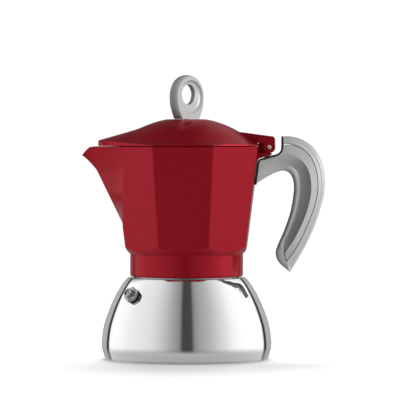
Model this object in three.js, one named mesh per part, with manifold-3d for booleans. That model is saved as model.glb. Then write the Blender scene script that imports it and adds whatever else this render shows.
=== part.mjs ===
// Stovetop moka pot, as separate pieces. Millimetres, +Z up.
// The origin is on the pot's axis at the flat bottom, +X points to the handle and -X to the spout.
import * as THREE from 'three';
import { mergeVertices } from 'three/addons/utils/BufferGeometryUtils.js';
import Module from 'manifold-3d';

const wasm = await Module();
wasm.setup();

// ---- driving dimensions ----
const FIT = 0.3;                 // clearance between pieces that touch
const BASE_R = 50;               // widest radius of the boiler
const SHOULDER_R = 34.6;         // boiler at its shoulder
const SHOULDER_Z = 48;
const SHELL_WALL = 1.3;
const LINER_WALL = 2.4;
const NECK_R = 30.4;             // threaded neck, drawn as a plain cylinder
const NECK_BORE_R = 27.6;
const NECK_TOP = 57.5;
const COLLAR_R = 33.2;
const COLLAR_LOW = 48.7;
const COLLAR_TOP = 62;
const CONE_TOP_R = 38.2;         // octagon's circumradius where the collar's cone ends
const CONE_TOP_Z = 66.5;
const RIM_R = 46;                // octagon's circumradius at the rim
const RIM_Z = 124.9;
const POT_FLOOR = 67.5;
const POT_WALL_LOW = 2.6;
const POT_WALL_RIM = 1.8;
const KEEL_START_Z = 77.5;       // the spout's keel leaves the flat facet here
const KEEL_BEND = [-53.4, 111];
const LID_GAP = 0.3;
const LID_LOW = RIM_Z + LID_GAP;
const DOME_R = 61.2;             // sphere of the lid's dome
const DOME_APEX = 142;           // where the dome would end, above its flat seat
const SEAT_Z = 141;              // flat top that the knob stands on
const LID_WALL = 2;
const PIN_X = 48.9;              // hinge pin's axis runs along Y
const PIN_Z = 124.5;
const PIN_R = 1.2;
const EAR_OUT = 7.5;             // half width of the hinge arm
const EAR_IN = 3.9;
const LUG_HALF = 3.6;
const KNUCKLE_R = 3.2;
const ARM_TOP = 130.9;
const HANDLE_HALF = 7.2;         // half thickness of the handle along Y
const ROUND_SIDES = 36;
const EIGHTH = Math.PI / 4;

// ---- solids ----
const solidOf = (geometry) => {
  const bare = geometry.clone();
  bare.deleteAttribute('normal');
  bare.deleteAttribute('uv');
  const merged = mergeVertices(bare, 1e-4);
  return new wasm.Manifold(new wasm.Mesh({
    numProp: 3,
    vertProperties: new Float32Array(merged.attributes.position.array),
    triVerts: new Uint32Array(merged.index.array),
  }));
};

const geometryOf = (solid) => {
  const mesh = solid.getMesh();
  const geometry = new THREE.BufferGeometry();
  geometry.setAttribute('position', new THREE.BufferAttribute(new Float32Array(mesh.vertProperties), 3));
  geometry.setIndex(new THREE.BufferAttribute(new Uint32Array(mesh.triVerts), 1));
  return geometry;
};

// A turned solid about +Z from (radius, height) pairs that go round the section anticlockwise.
const turned = (profile, sides = ROUND_SIDES) => {
  const points = profile.map(([r, z]) => new THREE.Vector2(r, z));
  points.push(points[0].clone());
  return new THREE.LatheGeometry(points, sides).rotateX(Math.PI / 2);
};
const disc = (r, low, high, sides = ROUND_SIDES) => turned([[0, low], [r, low], [r, high], [0, high]], sides);
const ring = (inner, outer, low, high, sides = ROUND_SIDES) =>
  turned([[inner, low], [outer, low], [outer, high], [inner, high]], sides);

const shapeOf = (points) => new THREE.Shape(points.map(([a, b]) => new THREE.Vector2(a, b)));
// A plan outline pulled up from low to high.
const prism = (points, low, high) =>
  new THREE.ExtrudeGeometry(shapeOf(points), { depth: high - low, bevelEnabled: false }).translate(0, 0, low);
// An (x, z) outline pulled out along Y to both sides of the middle plane.
const plate = (points, fromY, toY) => new THREE.ExtrudeGeometry(shapeOf(points), { depth: toY - fromY, bevelEnabled: false })
  .rotateX(Math.PI / 2)
  .translate(0, toY, 0);
const pinAlongY = (r, x, z, half, sides = 20) =>
  new THREE.CylinderGeometry(r, r, 2 * half, sides).translate(x, 0, z);
const upright = (r, low, high, x = 0, y = 0, sides = 20) =>
  new THREE.CylinderGeometry(r, r, high - low, sides).rotateX(Math.PI / 2).translate(x, y, (low + high) / 2);

// A smooth run of points through hand-set ones.
const smooth = (points, count) => new THREE.SplineCurve(points.map(([a, b]) => new THREE.Vector2(a, b)))
  .getPoints(count)
  .map((p) => [p.x, p.y]);
const arc = (cx, cz, r, from, to, steps) => Array.from({ length: steps + 1 }, (_, i) => {
  const angle = THREE.MathUtils.degToRad(from + (to - from) * i / steps);
  return [cx + r * Math.cos(angle), cz + r * Math.sin(angle)];
});

const group = new THREE.Group();
const add = (name, geometry, look, parent = group) => {
  const mesh = new THREE.Mesh(geometry, look);
  mesh.name = name;
  parent.add(mesh);
  return mesh;
};
const look = (color, roughness, metalness) => new THREE.MeshStandardMaterial({ color, roughness, metalness });
const STEEL = look(0xc9cdcd, 0.18, 1);
const ALUMINIUM = look(0xb9bcbc, 0.4, 1);
const RED = look(0x8c1620, 0.2, 0.4);
const SILVER = look(0xa9aba8, 0.35, 0.7);
const BLACK = look(0x1d1e1d, 0.35, 0);
const RUBBER = look(0xe6e0d2, 0.7, 0);

// ---- boiler ----
const bellOutside = [
  [43.5, 0], [46.6, 0.9], [49, 3.2], [49.9, 6.4], [BASE_R, 8.7], [49.5, 15], [48.2, 21.5], [46.2, 27.5],
  [43.2, 34.6], [40, 40.5], [37.2, 45], [SHOULDER_R + 0.6, 47.6], [SHOULDER_R, SHOULDER_Z],
];
// The same curve, moved inwards and kept above the base plate.
const bellAt = (inset, floor, top) => {
  const kept = bellOutside.filter(([, z]) => z > floor + 4 && z < top - 1);
  const wall = kept.map(([r, z]) => [r - inset * 1.08, z]);
  const first = wall[0];
  return [[first[0] - 5, floor], [first[0] - 0.8, floor + 2], ...wall];
};

const shellPlate = 2.6;
const shellInner = bellAt(SHELL_WALL, shellPlate, SHOULDER_Z);
const lipInnerR = NECK_R + 0.6;
const boilerShell = solidOf(turned([
  [0, 0], ...bellOutside, [lipInnerR, SHOULDER_Z], [lipInnerR, SHOULDER_Z - SHELL_WALL],
  [SHOULDER_R - 0.4, SHOULDER_Z - SHELL_WALL], ...shellInner.reverse(), [0, shellPlate],
]));

const linerFloor = shellPlate + FIT;
const linerOuter = bellAt(SHELL_WALL + FIT, linerFloor, SHOULDER_Z - SHELL_WALL);
const linerInner = bellAt(SHELL_WALL + FIT + LINER_WALL, linerFloor + LINER_WALL, SHOULDER_Z - SHELL_WALL - 3);
const linerShoulder = SHOULDER_Z - SHELL_WALL - FIT;
const boilerLiner = solidOf(turned([
  [0, linerFloor], ...linerOuter, [SHOULDER_R - 0.9, linerShoulder], [NECK_R, linerShoulder],
  [NECK_R, NECK_TOP - 0.6], [NECK_R - 0.6, NECK_TOP], [NECK_BORE_R, NECK_TOP],
  [NECK_BORE_R, linerShoulder - LINER_WALL - 1.5], ...linerInner.reverse(), [0, linerFloor + LINER_WALL],
]));

// ---- safety valve: turned about its own axis, square to the bell's wall ----
const VALVE_ROUND = 135 * Math.PI / 180;     // its place round the pot, from +X through -Y
const VALVE_TILT = 29 * Math.PI / 180;
const valveFoot = new THREE.Vector3(41.3 * Math.cos(VALVE_ROUND), -41.3 * Math.sin(VALVE_ROUND), 38.05);
const valveAxis = new THREE.Vector3(
  Math.cos(VALVE_ROUND) * Math.cos(VALVE_TILT), -Math.sin(VALVE_ROUND) * Math.cos(VALVE_TILT), Math.sin(VALVE_TILT));
const valvePlace = new THREE.Matrix4().compose(
  valveFoot, new THREE.Quaternion().setFromUnitVectors(new THREE.Vector3(0, 0, 1), valveAxis), new THREE.Vector3(1, 1, 1));
const onValve = (geometry) => geometry.applyMatrix4(valvePlace);

const VALVE_SHANK_R = 3.4;
const VALVE_BORE_R = 1.9;
const HEX_ACROSS = 9;
const hexLow = 1;
const hexHigh = hexLow + 2.5;
const hexPrism = new THREE.CylinderGeometry(HEX_ACROSS / Math.sqrt(3), HEX_ACROSS / Math.sqrt(3), hexHigh - hexLow, 6)
  .rotateX(Math.PI / 2)
  .translate(0, 0, (hexLow + hexHigh) / 2);
const valveEnd = hexHigh + 2.2;
const valveTurning = solidOf(turned([
  [0, -6], [VALVE_SHANK_R, -6], [VALVE_SHANK_R, hexLow + 0.5], [3.5, hexLow + 0.5], [3.5, hexHigh + 0.6],
  [2.5, hexHigh + 0.8], [2.5, hexHigh + 1.2], [2.7, hexHigh + 1.4], [2.7, valveEnd - 0.3], [2.4, valveEnd], [0, valveEnd],
], 20));
const valveBore = solidOf(turned([
  [0, -7], [1, -7], [1, -4], [VALVE_BORE_R, -3.1], [VALVE_BORE_R, valveEnd + 1], [0, valveEnd + 1],
], 16));
add('valve_body', onValve(geometryOf(valveTurning.add(solidOf(hexPrism)).subtract(valveBore))), STEEL);
add('valve_washer', onValve(ring(VALVE_SHANK_R + FIT, 4.7, 0.35, hexLow - FIT, 20)), RUBBER);

const plungerHeadTop = -2;
const stemR = 0.6;
add('valve_plunger', onValve(turned([
  [0, -3.7], [0.7, -3.7], [1.5, -2.8], [1.5, plungerHeadTop], [stemR, plungerHeadTop], [stemR, valveEnd - 0.5], [0, valveEnd - 0.5],
], 12)), look(0xb08d4a, 0.35, 1));

// The spring is drawn at its shortest, so the plunger has room to move out.
const springLow = plungerHeadTop + 1.5;
const springTurns = 5;
const SPRING_R = 1.25;
const retainerLow = valveEnd - 1.5;
class Helix extends THREE.Curve {
  getPoint(t, target = new THREE.Vector3()) {
    const angle = 2 * Math.PI * springTurns * t;
    const z = springLow + (retainerLow - 2 * FIT - springLow) * t;
    return target.set(SPRING_R * Math.cos(angle), SPRING_R * Math.sin(angle), z);
  }
}
const wire = new THREE.Shape().absarc(0, 0, 0.2, 0, 2 * Math.PI);
add('valve_spring', onValve(new THREE.ExtrudeGeometry(wire, {
  extrudePath: new Helix(), steps: springTurns * 9, curveSegments: 3, bevelEnabled: false,
})), STEEL);
add('valve_retainer', onValve(ring(0.9, VALVE_BORE_R - FIT / 2, retainerLow, valveEnd - 0.7, 16)), STEEL);

const valveHole = solidOf(onValve(disc(VALVE_SHANK_R + FIT, -12, 12, 24)));
add('boiler_shell', geometryOf(boilerShell.subtract(valveHole)), STEEL);
add('boiler_liner', geometryOf(boilerLiner.subtract(valveHole)), ALUMINIUM);

// ---- coffee funnel and its strainer ----
const funnelRimLow = NECK_TOP + FIT;
const funnelRimTop = funnelRimLow + 1;
const basketR = NECK_BORE_R - 0.6;
const basketLow = 37;
add('funnel', turned([
  [3.6, 8], [4.6, 8], [5.2, 31], [basketR - 3, basketLow - 1.2], [basketR, basketLow + 0.8], [basketR, funnelRimLow],
  [NECK_R - 0.6, funnelRimLow], [NECK_R - 0.6, funnelRimTop], [basketR - 1, funnelRimTop],
  [basketR - 1, basketLow + 1.2], [basketR - 3.4, basketLow - 0.2], [4.2, 32],
]), ALUMINIUM);

// Holes in rings of 6, 12, 18... round a middle one.
const holeRings = (rings, pitch, r, low, high) => {
  const holes = [upright(r, low, high, 0, 0, 6)];
  for (let n = 1; n <= rings; n += 1) {
    for (let k = 0; k < 6 * n; k += 1) {
      const angle = 2 * Math.PI * k / (6 * n);
      holes.push(upright(r, low, high, n * pitch * Math.cos(angle), n * pitch * Math.sin(angle), 6));
    }
  }
  return holes.map(solidOf);
};
const perforated = (plateSolid, holes) => holes.reduce((rest, hole) => rest.subtract(hole), plateSolid);
const strainerLow = basketLow + 1.2 + FIT;
add('funnel_strainer', geometryOf(perforated(
  solidOf(disc(basketR - 1 - FIT, strainerLow, strainerLow + 1, 32)),
  holeRings(2, 9.2, 1.2, strainerLow - 1, strainerLow + 2))), ALUMINIUM);

// ---- gasket and filter plate under the collector ----
const GASKET_R = 29.6;
const gasketLow = funnelRimTop + FIT;
const gasketTop = gasketLow + 2.4;
add('gasket', ring(24.4, GASKET_R, gasketLow, gasketTop), RUBBER);
const plateLow = gasketTop + FIT;
const plateR = 28.8;
add('filter_plate', geometryOf(perforated(
  solidOf(turned([
    [0, plateLow + 1.2], [22, plateLow + 1.2], [23.4, plateLow], [plateR, plateLow], [plateR, plateLow + 0.8],
    [23.8, plateLow + 0.8], [22.4, plateLow + 2], [0, plateLow + 2],
  ], 36)),
  holeRings(2, 8.4, 1.1, plateLow, plateLow + 4))), ALUMINIUM);

// ---- collector: an eight-sided loft whose front facet grows into the spout ----
const octagonR = (z) => CONE_TOP_R + (RIM_R - CONE_TOP_R) * (z - CONE_TOP_Z) / (RIM_Z - CONE_TOP_Z);
const corner = (z, k) => {
  const angle = (k + 0.5) * EIGHTH;
  return [octagonR(z) * Math.cos(angle), octagonR(z) * Math.sin(angle)];
};
// The crease slides from the front corner back along the next facet as the spout widens.
const crease = (z) => {
  const rise = Math.max(0, (z - KEEL_START_Z) / (RIM_Z - KEEL_START_Z));
  const along = 1 - 0.2245 * rise - 0.141 * rise * rise;
  const [a, b] = [corner(z, 2), corner(z, 3)];
  return [a[0] + (b[0] - a[0]) * along, a[1] + (b[1] - a[1]) * along];
};
const facetX = (z) => -octagonR(z) * Math.cos(EIGHTH / 2);
const keelX = (z) => {
  if (z <= KEEL_START_Z) return facetX(z);
  const start = facetX(KEEL_START_Z);
  return start + (KEEL_BEND[0] - start) * (z - KEEL_START_Z) / (KEEL_BEND[1] - KEEL_START_Z);
};
// Each level gives the height at the corners, and the keel point; the lip's side dips towards its tip.
const levels = [
  { z: 58 }, { z: KEEL_START_Z }, { z: 96 }, { z: KEEL_BEND[1] },
  { z: 115.5, keel: [-56.2, 114.6], dip: [0, 0.3] },
  { z: 119.5, keel: [-59.4, 117.1], dip: [0.2, 0.9] },
  { z: RIM_Z, keel: [-62.3, 119.2], dip: [0, 2.1] },
];
const LIP_FRACTIONS = [0.7, 0.9];
const sectionAt = ({ z, keel, dip }) => {
  const tip = keel || [keelX(z), z];
  const fold = crease(z);
  const lip = LIP_FRACTIONS.map((f, i) =>
    [fold[0] + (tip[0] - fold[0]) * f, fold[1] * (1 - f), z - (dip ? dip[i] : 0)]);
  const half = [[...corner(z, 0), z], [...corner(z, 1), z], [...corner(z, 2), z], [...fold, z], ...lip];
  const mirrored = half.map(([x, y, h]) => [x, -y, h]).reverse();
  return [...half, [tip[0], 0, tip[1]], ...mirrored];
};
// Moves a plan section's points in by the wall, square to its sides.
const inset = (section, wall) => section.map((point, i) => {
  const before = section[(i + section.length - 1) % section.length];
  const after = section[(i + 1) % section.length];
  const a = new THREE.Vector2(point[0] - before[0], point[1] - before[1]).normalize();
  const b = new THREE.Vector2(after[0] - point[0], after[1] - point[1]).normalize();
  const inward = new THREE.Vector2(-(a.y + b.y), a.x + b.x).normalize();
  const reach = wall / Math.max(0.4, inward.dot(new THREE.Vector2(-a.y, a.x)));
  return [point[0] + inward.x * reach, point[1] + inward.y * reach, point[2]];
});
const loft = (sections) => {
  const count = sections[0].length;
  const faces = [];
  const caps = THREE.ShapeUtils.triangulateShape(sections[0].map(([x, y]) => new THREE.Vector2(x, y)), []);
  const top = (sections.length - 1) * count;
  const topCaps = THREE.ShapeUtils.triangulateShape(sections.at(-1).map(([x, y]) => new THREE.Vector2(x, y)), []);
  caps.forEach(([a, b, c]) => faces.push(a, c, b));
  topCaps.forEach(([a, b, c]) => faces.push(top + a, top + b, top + c));
  for (let j = 0; j + 1 < sections.length; j += 1) {
    for (let i = 0; i < count; i += 1) {
      const [a, b] = [j * count + i, j * count + (i + 1) % count];
      faces.push(a, b, b + count, a, b + count, a + count);
    }
  }
  const geometry = new THREE.BufferGeometry();
  geometry.setAttribute('position', new THREE.Float32BufferAttribute(sections.flat(2), 3));
  geometry.setIndex(faces);
  return geometry;
};
const wallAt = (z) => THREE.MathUtils.mapLinear(z, POT_FLOOR, RIM_Z, POT_WALL_LOW, POT_WALL_RIM);
const outerSections = levels.map(sectionAt);
const cavityLevels = [{ z: POT_FLOOR }, ...levels.slice(1)];
const cavitySections = cavityLevels.map((level) => inset(sectionAt(level), wallAt(level.z)));
cavitySections.push(cavitySections.at(-1).map(([x, y, z]) => [x, y, z + 4]));

// The cone under the octagon cuts a scallop into each facet; the round collar hangs below it.
const coneSlope = (CONE_TOP_R - COLLAR_R) / (CONE_TOP_Z - COLLAR_TOP);
const coneCut = solidOf(turned([
  [0, COLLAR_TOP], [COLLAR_R, COLLAR_TOP], [COLLAR_R + 40 * coneSlope, COLLAR_TOP + 40], [COLLAR_R + 40, RIM_Z + 10], [0, RIM_Z + 10],
]));
const collar = solidOf(turned([
  [0, COLLAR_LOW], [COLLAR_R - 1, COLLAR_LOW], [COLLAR_R - 0.2, COLLAR_LOW + 0.5], [COLLAR_R, COLLAR_LOW + 1.3],
  [COLLAR_R, COLLAR_TOP + 1], [0, COLLAR_TOP + 1],
]));
const chamberTop = POT_FLOOR - 2.5;
const threadBore = solidOf(turned([
  [0, COLLAR_LOW - 1], [NECK_R + 0.4, COLLAR_LOW - 1], [NECK_R + 0.4, NECK_TOP + 1.4], [GASKET_R + 0.4, NECK_TOP + 1.6],
  [GASKET_R + 0.4, plateLow + 0.8 + FIT], [27.6, plateLow + 0.8 + FIT], [27.6, chamberTop], [0, chamberTop],
]));
const columnHole = solidOf(upright(5.2, chamberTop - 1, POT_FLOOR + 1));
const lugOutline = [
  [38, 122], [40.5, 121.4], [44, 121], [50.1, 121], [50.3, 120.6], [49.6, 120], [44.3, 118.3], [42.6, 117.7], [41.6, 116.6], [38, 116],
];
const knuckleOutline = [
  [38.5, 119], [49.5, 119.6], ...arc(PIN_X, PIN_Z, KNUCKLE_R, -80, 120, 10), [43, 127.2], [42.6, 124.6], [38.5, 124.6],
];
const handleScrewX = 47.3;
const lug = solidOf(plate(lugOutline, -EAR_OUT, EAR_OUT))
  .add(solidOf(plate(knuckleOutline, -LUG_HALF, LUG_HALF)))
  .subtract(solidOf(pinAlongY(PIN_R + FIT, PIN_X, PIN_Z, 12)))
  .subtract(solidOf(upright(1.8, 100, 122, handleScrewX)));
add('collector', geometryOf(
  solidOf(loft(outerSections)).intersect(coneCut)
    .add(collar)
    .add(lug)
    .subtract(solidOf(loft(cavitySections)))
    .subtract(threadBore)
    .subtract(columnHole)), RED);

const columnTop = 112.5;
const columnSolid = solidOf(turned([
  [2.4, chamberTop + 0.4], [4.9, chamberTop + 0.4], [4.9, POT_FLOOR + FIT], [8, POT_FLOOR + FIT], [8, POT_FLOOR + 1.4], [5.2, POT_FLOOR + 3],
  [3.8, columnTop - 3], [3.4, columnTop - 0.8], [2.4, columnTop], [0, columnTop], [0, columnTop - 1.6], [2.2, columnTop - 2.4],
], 24));
const columnSlots = solidOf(new THREE.BoxGeometry(3, 12, 4.4).translate(0, 0, columnTop - 5));
add('coffee_column', geometryOf(columnSolid.subtract(columnSlots)), ALUMINIUM);

// ---- lid ----
const domeZ = (r, drop = 0) => DOME_APEX - DOME_R + Math.sqrt(DOME_R * DOME_R - r * r) - drop;
// The dome flattens towards the rim, so it meets each side of the octagon in a shallow arc.
const domeProfile = (drop, low) => [
  [0, low], [56, low], [56, 125.4 - drop], [45.7, 125.8 - drop], [43.4, 126.3 - drop], [41.6, 126.9 - drop], [39.6, 127.9 - drop],
  ...[37, 32, 26, 20, 14, 7, 0].map((r) => [r, domeZ(r, drop)]),
];
// Plan outline of the lid: the octagon, then the spout's sides as far as a blunt nose.
const lidRim = (edge) => {
  const plan = inset(sectionAt(levels.at(-1)), edge).map(([x, y]) => [x, y]);
  const half = plan.slice(0, 4);
  const nose = smooth([
    [-46.6, 13.6 - edge], [-50.6, 8.4 - edge], [edge - 52.4, 0], [-50.6, edge - 8.4], [-46.6, edge - 13.6],
  ], 8);
  const mirrored = half.map(([x, y]) => [x, -y]).reverse();
  return [...half, ...nose, ...mirrored];
};
const armPlan = [
  [30, -7.4], [36, -6.6], [40.9, -6.4], [42.4, -EAR_OUT], [60, -EAR_OUT], [60, EAR_OUT], [42.4, EAR_OUT], [40.9, 6.4], [36, 6.6], [30, 7.4],
];
const armSide = [
  [30, LID_LOW + 1], [41.8, LID_LOW + 1], [41.8, 127], [45.3, 127], [45.5, PIN_Z],
  ...arc(PIN_X, PIN_Z, KNUCKLE_R + 0.1, 180, 340, 9), [52, 127], ...arc(50, ARM_TOP - 2, 2, 0, 90, 4),
  [41.7, ARM_TOP + 1.1], [33.7, ARM_TOP + 2.2], [30, ARM_TOP + 2.6],
];
const earSlot = [
  [41.9, 110], [60, 110], [60, PIN_Z], ...arc(PIN_X, PIN_Z, KNUCKLE_R + FIT, 0, 90, 6), [41.9, PIN_Z + KNUCKLE_R + FIT],
];
const arm = solidOf(plate(armSide, -20, 20))
  .intersect(solidOf(prism(armPlan, 110, 140)))
  .subtract(solidOf(plate(earSlot, -EAR_IN, EAR_IN)))
  .subtract(solidOf(pinAlongY(PIN_R + FIT, PIN_X, PIN_Z, 12)));
// Spout cover: a barrel vault whose ridge leaves the dome in a straight line and falls to the nose.
const VAULT_START = -14;
const VAULT_LENGTH = 38.4;
const VAULT_HALF = 28;
const VAULT_FALL = 0.285;                    // drop along the ridge, per mm
const vaultStartZ = 139.3;
const vault = (drop, low) => {
  const across = Array.from({ length: 13 }, (_, i) => VAULT_HALF * (1 - i / 6));
  const crown = across.map((y) => [y, vaultStartZ - drop - 0.0105 * y * y]);
  const section = shapeOf([[-VAULT_HALF, low - 14], [VAULT_HALF, low - 14], ...crown]);
  const lying = new THREE.Matrix4().set(
    0, 0, -1, VAULT_START,
    -1, 0, 0, 0,
    0, 1, -VAULT_FALL, 0,
    0, 0, 0, 1);
  return solidOf(new THREE.ExtrudeGeometry(section, { depth: VAULT_LENGTH, bevelEnabled: false }).applyMatrix4(lying));
};
const domeSolid = (drop, edge, low) => solidOf(prism(lidRim(edge), low, 150))
  .intersect(solidOf(turned(domeProfile(drop, low))).add(vault(drop, low)))
  .intersect(solidOf(new THREE.BoxGeometry(200, 200, 40).translate(0, 0, SEAT_Z - drop - 20)));
const knobHole = solidOf(upright(2.4, 130, 150));
add('lid', geometryOf(
  domeSolid(0, LID_GAP, LID_LOW).add(arm)
    .subtract(domeSolid(LID_WALL, LID_WALL + LID_GAP, LID_LOW - 3))
    .subtract(knobHole)), RED);
add('hinge_pin', pinAlongY(PIN_R, PIN_X, PIN_Z, EAR_OUT + 0.35), STEEL);

// ---- knob: an upright oval ring with dished faces ----
const KNOB_LOW = SEAT_Z + FIT;
const KNOB_TOP = 166.9;
const KNOB_HALF_WIDTH = 12.9;
const KNOB_THICK = 7;
const KNOB_HOLE_R = 5.8;
const KNOB_TURN = 37 * Math.PI / 180;        // the face looks between +X and -Y
const knobMiddle = 153.6;
const knobOutline = [
  ...arc(0, 0, 1, -62, 242, 28).map(([u, v]) =>
    [KNOB_HALF_WIDTH * u, knobMiddle + v * (v > 0 ? KNOB_TOP - knobMiddle : 13.2)]),
].filter(([, z]) => z > KNOB_LOW + 2);
knobOutline.push([-8, KNOB_LOW], [8, KNOB_LOW]);
const knobBody = plate(knobOutline, -KNOB_THICK / 2, KNOB_THICK / 2);
const dish = (side) => {
  const oval = new THREE.SphereGeometry(1, 24, 12).scale(11.2, 1.6, 10.2).translate(0, side * KNOB_THICK / 2, knobMiddle + 0.2);
  return solidOf(oval);
};
const knobSolid = solidOf(knobBody)
  .subtract(dish(1))
  .subtract(dish(-1))
  .subtract(solidOf(pinAlongY(KNOB_HOLE_R, 0, 155.4, 10, 24)))
  .subtract(solidOf(upright(1.9, 130, KNOB_LOW + 6.5, 0, 0, 12)));
add('knob', geometryOf(knobSolid).rotateZ(Math.PI / 2 - KNOB_TURN), SILVER);
const lidInside = SEAT_Z - LID_WALL;
const washerTop = lidInside - FIT - 0.4;
add('knob_washer', ring(1.9, 5, washerTop - 0.8, washerTop, 24), STEEL);
add('knob_screw', turned([
  [0, washerTop - 3.4], [2.4, washerTop - 3.4], [3.3, washerTop - 2.7], [3.3, washerTop - 0.8 - FIT], [1.5, washerTop - 0.8 - FIT],
  [1.5, KNOB_LOW + 5.8], [0, KNOB_LOW + 5.8],
], 18), STEEL);

// ---- handle ----
const outerEdge = smooth([
  [57.2, 130.9], [62, 130.7], [67.6, 129.1], [73.8, 125], [78.3, 118.4], [80.9, 109.5], [81.2, 101], [79.3, 90.6],
  [75.1, 77.6], [69.4, 66], [60.9, 51.3],
], 26);
const partingLine = smooth([
  [57.2, 126.5], [61.5, 126.2], [67, 124.1], [72, 120], [75.8, 113], [77.2, 104], [76.6, 96], [73.6, 85], [68.4, 72.2], [60.6, 58.7],
], 22);
const innerEdge = smooth([
  [40.9, 103.1], [47.9, 107], [53, 109.9], [57.6, 110.7], [61.4, 108.4], [63, 103], [62.3, 93], [59.2, 80.4], [54.7, 69.8],
  [52.4, 63.5], [54.4, 56.8], [60.9, 51.3],
], 28);
// The seat runs from the top of the handle, under the lug and down the pot's facet.
const seatLine = [
  [55.8, 130.9], [55.8, 124.8], [55.3, 122.4], [53.6, 120.7], [50.2, 119.7], [46, 118.5], [42.9, 117.4], [41.8, 115.6], [41.3, 112],
  [40.75, 108], [40.2, 104], [40, 102.6],
];
// Moves an open line sideways, to the left of its direction, by the same distance all along.
const shifted = (line, distance) => line.map(([x, z], i) => {
  const before = line[Math.max(0, i - 1)];
  const after = line[Math.min(line.length - 1, i + 1)];
  const run = new THREE.Vector2(after[0] - before[0], after[1] - before[1]).normalize();
  return [x - run.y * distance, z + run.x * distance];
});
const PAD = 1.2;                             // thickness of the pad between pot and handle
const padBack = shifted(seatLine, PAD);
const gripFront = shifted(seatLine, PAD + FIT);
const gripOutline = [
  [57.5, 130], ...gripFront.slice(1, -1), ...innerEdge.slice(1, -1), ...outerEdge.slice(1).reverse(),
];
const coverRoom = [[54, 134], [54, 126.2], ...shifted(partingLine, -FIT), [60.4, 50], [95, 50], [95, 134]];
const flute = (side) => {
  const lane = smooth([[66.5, 113], [69.2, 104], [68.8, 94], [65.4, 82], [60.2, 70.5], [57.8, 62]], 12);
  const left = lane.map(([x, z]) => [x - 3.1, z + 0.6]);
  const right = lane.map(([x, z]) => [x + 3.1, z - 0.6]).reverse();
  return solidOf(plate([...left, ...right], side > 0 ? HANDLE_HALF - 1.6 : -HANDLE_HALF - 1, side > 0 ? HANDLE_HALF + 1 : 1.6 - HANDLE_HALF));
};
const screwHeadLow = 108.2;
add('handle_grip', geometryOf(
  solidOf(plate(gripOutline, -HANDLE_HALF, HANDLE_HALF))
    .subtract(solidOf(plate(coverRoom, -20, 20)))
    .subtract(flute(1))
    .subtract(flute(-1))
    .subtract(solidOf(upright(2.1, 100, 122, handleScrewX)))
    .subtract(solidOf(upright(3.6, 100, 110.6, handleScrewX)))), SILVER);
const coverOutline = [...partingLine, [61.3, 52.9], ...outerEdge.slice(0, -1).reverse()];
add('handle_cover', plate(coverOutline, -HANDLE_HALF, HANDLE_HALF), SILVER);
const insertOutline = [...seatLine, ...padBack.reverse()];
add('handle_insert', geometryOf(
  solidOf(plate(insertOutline, -HANDLE_HALF, HANDLE_HALF)).subtract(solidOf(upright(2.1, 100, 122, handleScrewX)))), BLACK);
add('handle_screw', turned([
  [0, screwHeadLow], [2.8, screwHeadLow], [3.2, screwHeadLow + 0.5], [3.2, 110.3], [1.5, 110.3], [1.5, 121.4], [0, 121.4],
], 18).translate(handleScrewX, 0, 0), STEEL);

export default group;
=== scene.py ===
"""Stovetop moka pot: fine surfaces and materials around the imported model.

Lengths of the pot are in millimetres. The camera and the lamps are placed in metres.
"""
import math

import bmesh
import bpy
from mathutils import Matrix, Vector
from mathutils.geometry import delaunay_2d_cdt


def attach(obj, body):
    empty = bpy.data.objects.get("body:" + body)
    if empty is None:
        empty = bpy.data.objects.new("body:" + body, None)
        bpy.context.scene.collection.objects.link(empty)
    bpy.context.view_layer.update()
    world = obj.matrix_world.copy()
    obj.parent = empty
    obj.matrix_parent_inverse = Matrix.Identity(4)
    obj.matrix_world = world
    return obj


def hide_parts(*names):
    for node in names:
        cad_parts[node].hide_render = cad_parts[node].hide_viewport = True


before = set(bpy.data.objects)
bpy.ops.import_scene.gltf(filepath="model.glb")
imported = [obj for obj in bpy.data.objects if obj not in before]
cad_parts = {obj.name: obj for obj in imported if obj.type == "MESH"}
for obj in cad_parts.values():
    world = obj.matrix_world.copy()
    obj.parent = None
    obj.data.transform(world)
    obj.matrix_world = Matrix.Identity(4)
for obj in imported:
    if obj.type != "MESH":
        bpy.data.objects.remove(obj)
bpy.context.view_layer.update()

MM = 0.001
MERGE = 0.002               # points closer than this are one point
TAU = 2 * math.pi

# ---- sizes that the surfaces share with the frame's parts ----
COLLAR_R = 33.2
COLLAR_LOW = 48.7
COLLAR_TOP = 62.0
CONE_TOP_R = 38.2
CONE_TOP_Z = 66.5
RIM_R = 46.0
RIM_Z = 124.9
POT_FLOOR = 67.5
CHAMBER_TOP = 65.0
POT_WALL = 1.8
KEEL_START_Z = 77.5
KEEL_BEND = (-53.4, 111.0)
KEEL_PULL = (-58.65, 117.4)
SPOUT_TIP = (-62.3, 119.2)
LIP_START = 0.80            # share of the spout's side where the lip starts to dip
NECK_R = 30.4
NECK_BORE_R = 27.6
NECK_TOP = 57.5
THREAD_PITCH = 3.0
LID_LOW = 125.2
LID_WALL = 2.0
DOME_R = 61.2
DOME_CENTRE = 80.8
SEAT_Z = 141.0
VAULT_START = -14.0
PIN_X = 48.9
PIN_Z = 124.5
PIN_R = 1.2
EAR_OUT = 7.5
EAR_IN = 3.9
LUG_HALF = 3.6
KNUCKLE_R = 3.2
ARM_TOP = 130.9
EIGHTH = math.pi / 4


# ---------------------------------------------------------------- mesh helpers
def mesh_object(name, shape):
    """An object from (points, faces), with the points in millimetres in the frame's axes."""
    verts, faces = shape
    mesh = bpy.data.meshes.new(name)
    mesh.from_pydata([(x * MM, y * MM, z * MM) for x, y, z in verts], [], faces)
    clean(mesh)
    obj = bpy.data.objects.new(name, mesh)
    bpy.context.scene.collection.objects.link(obj)
    return obj


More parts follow.
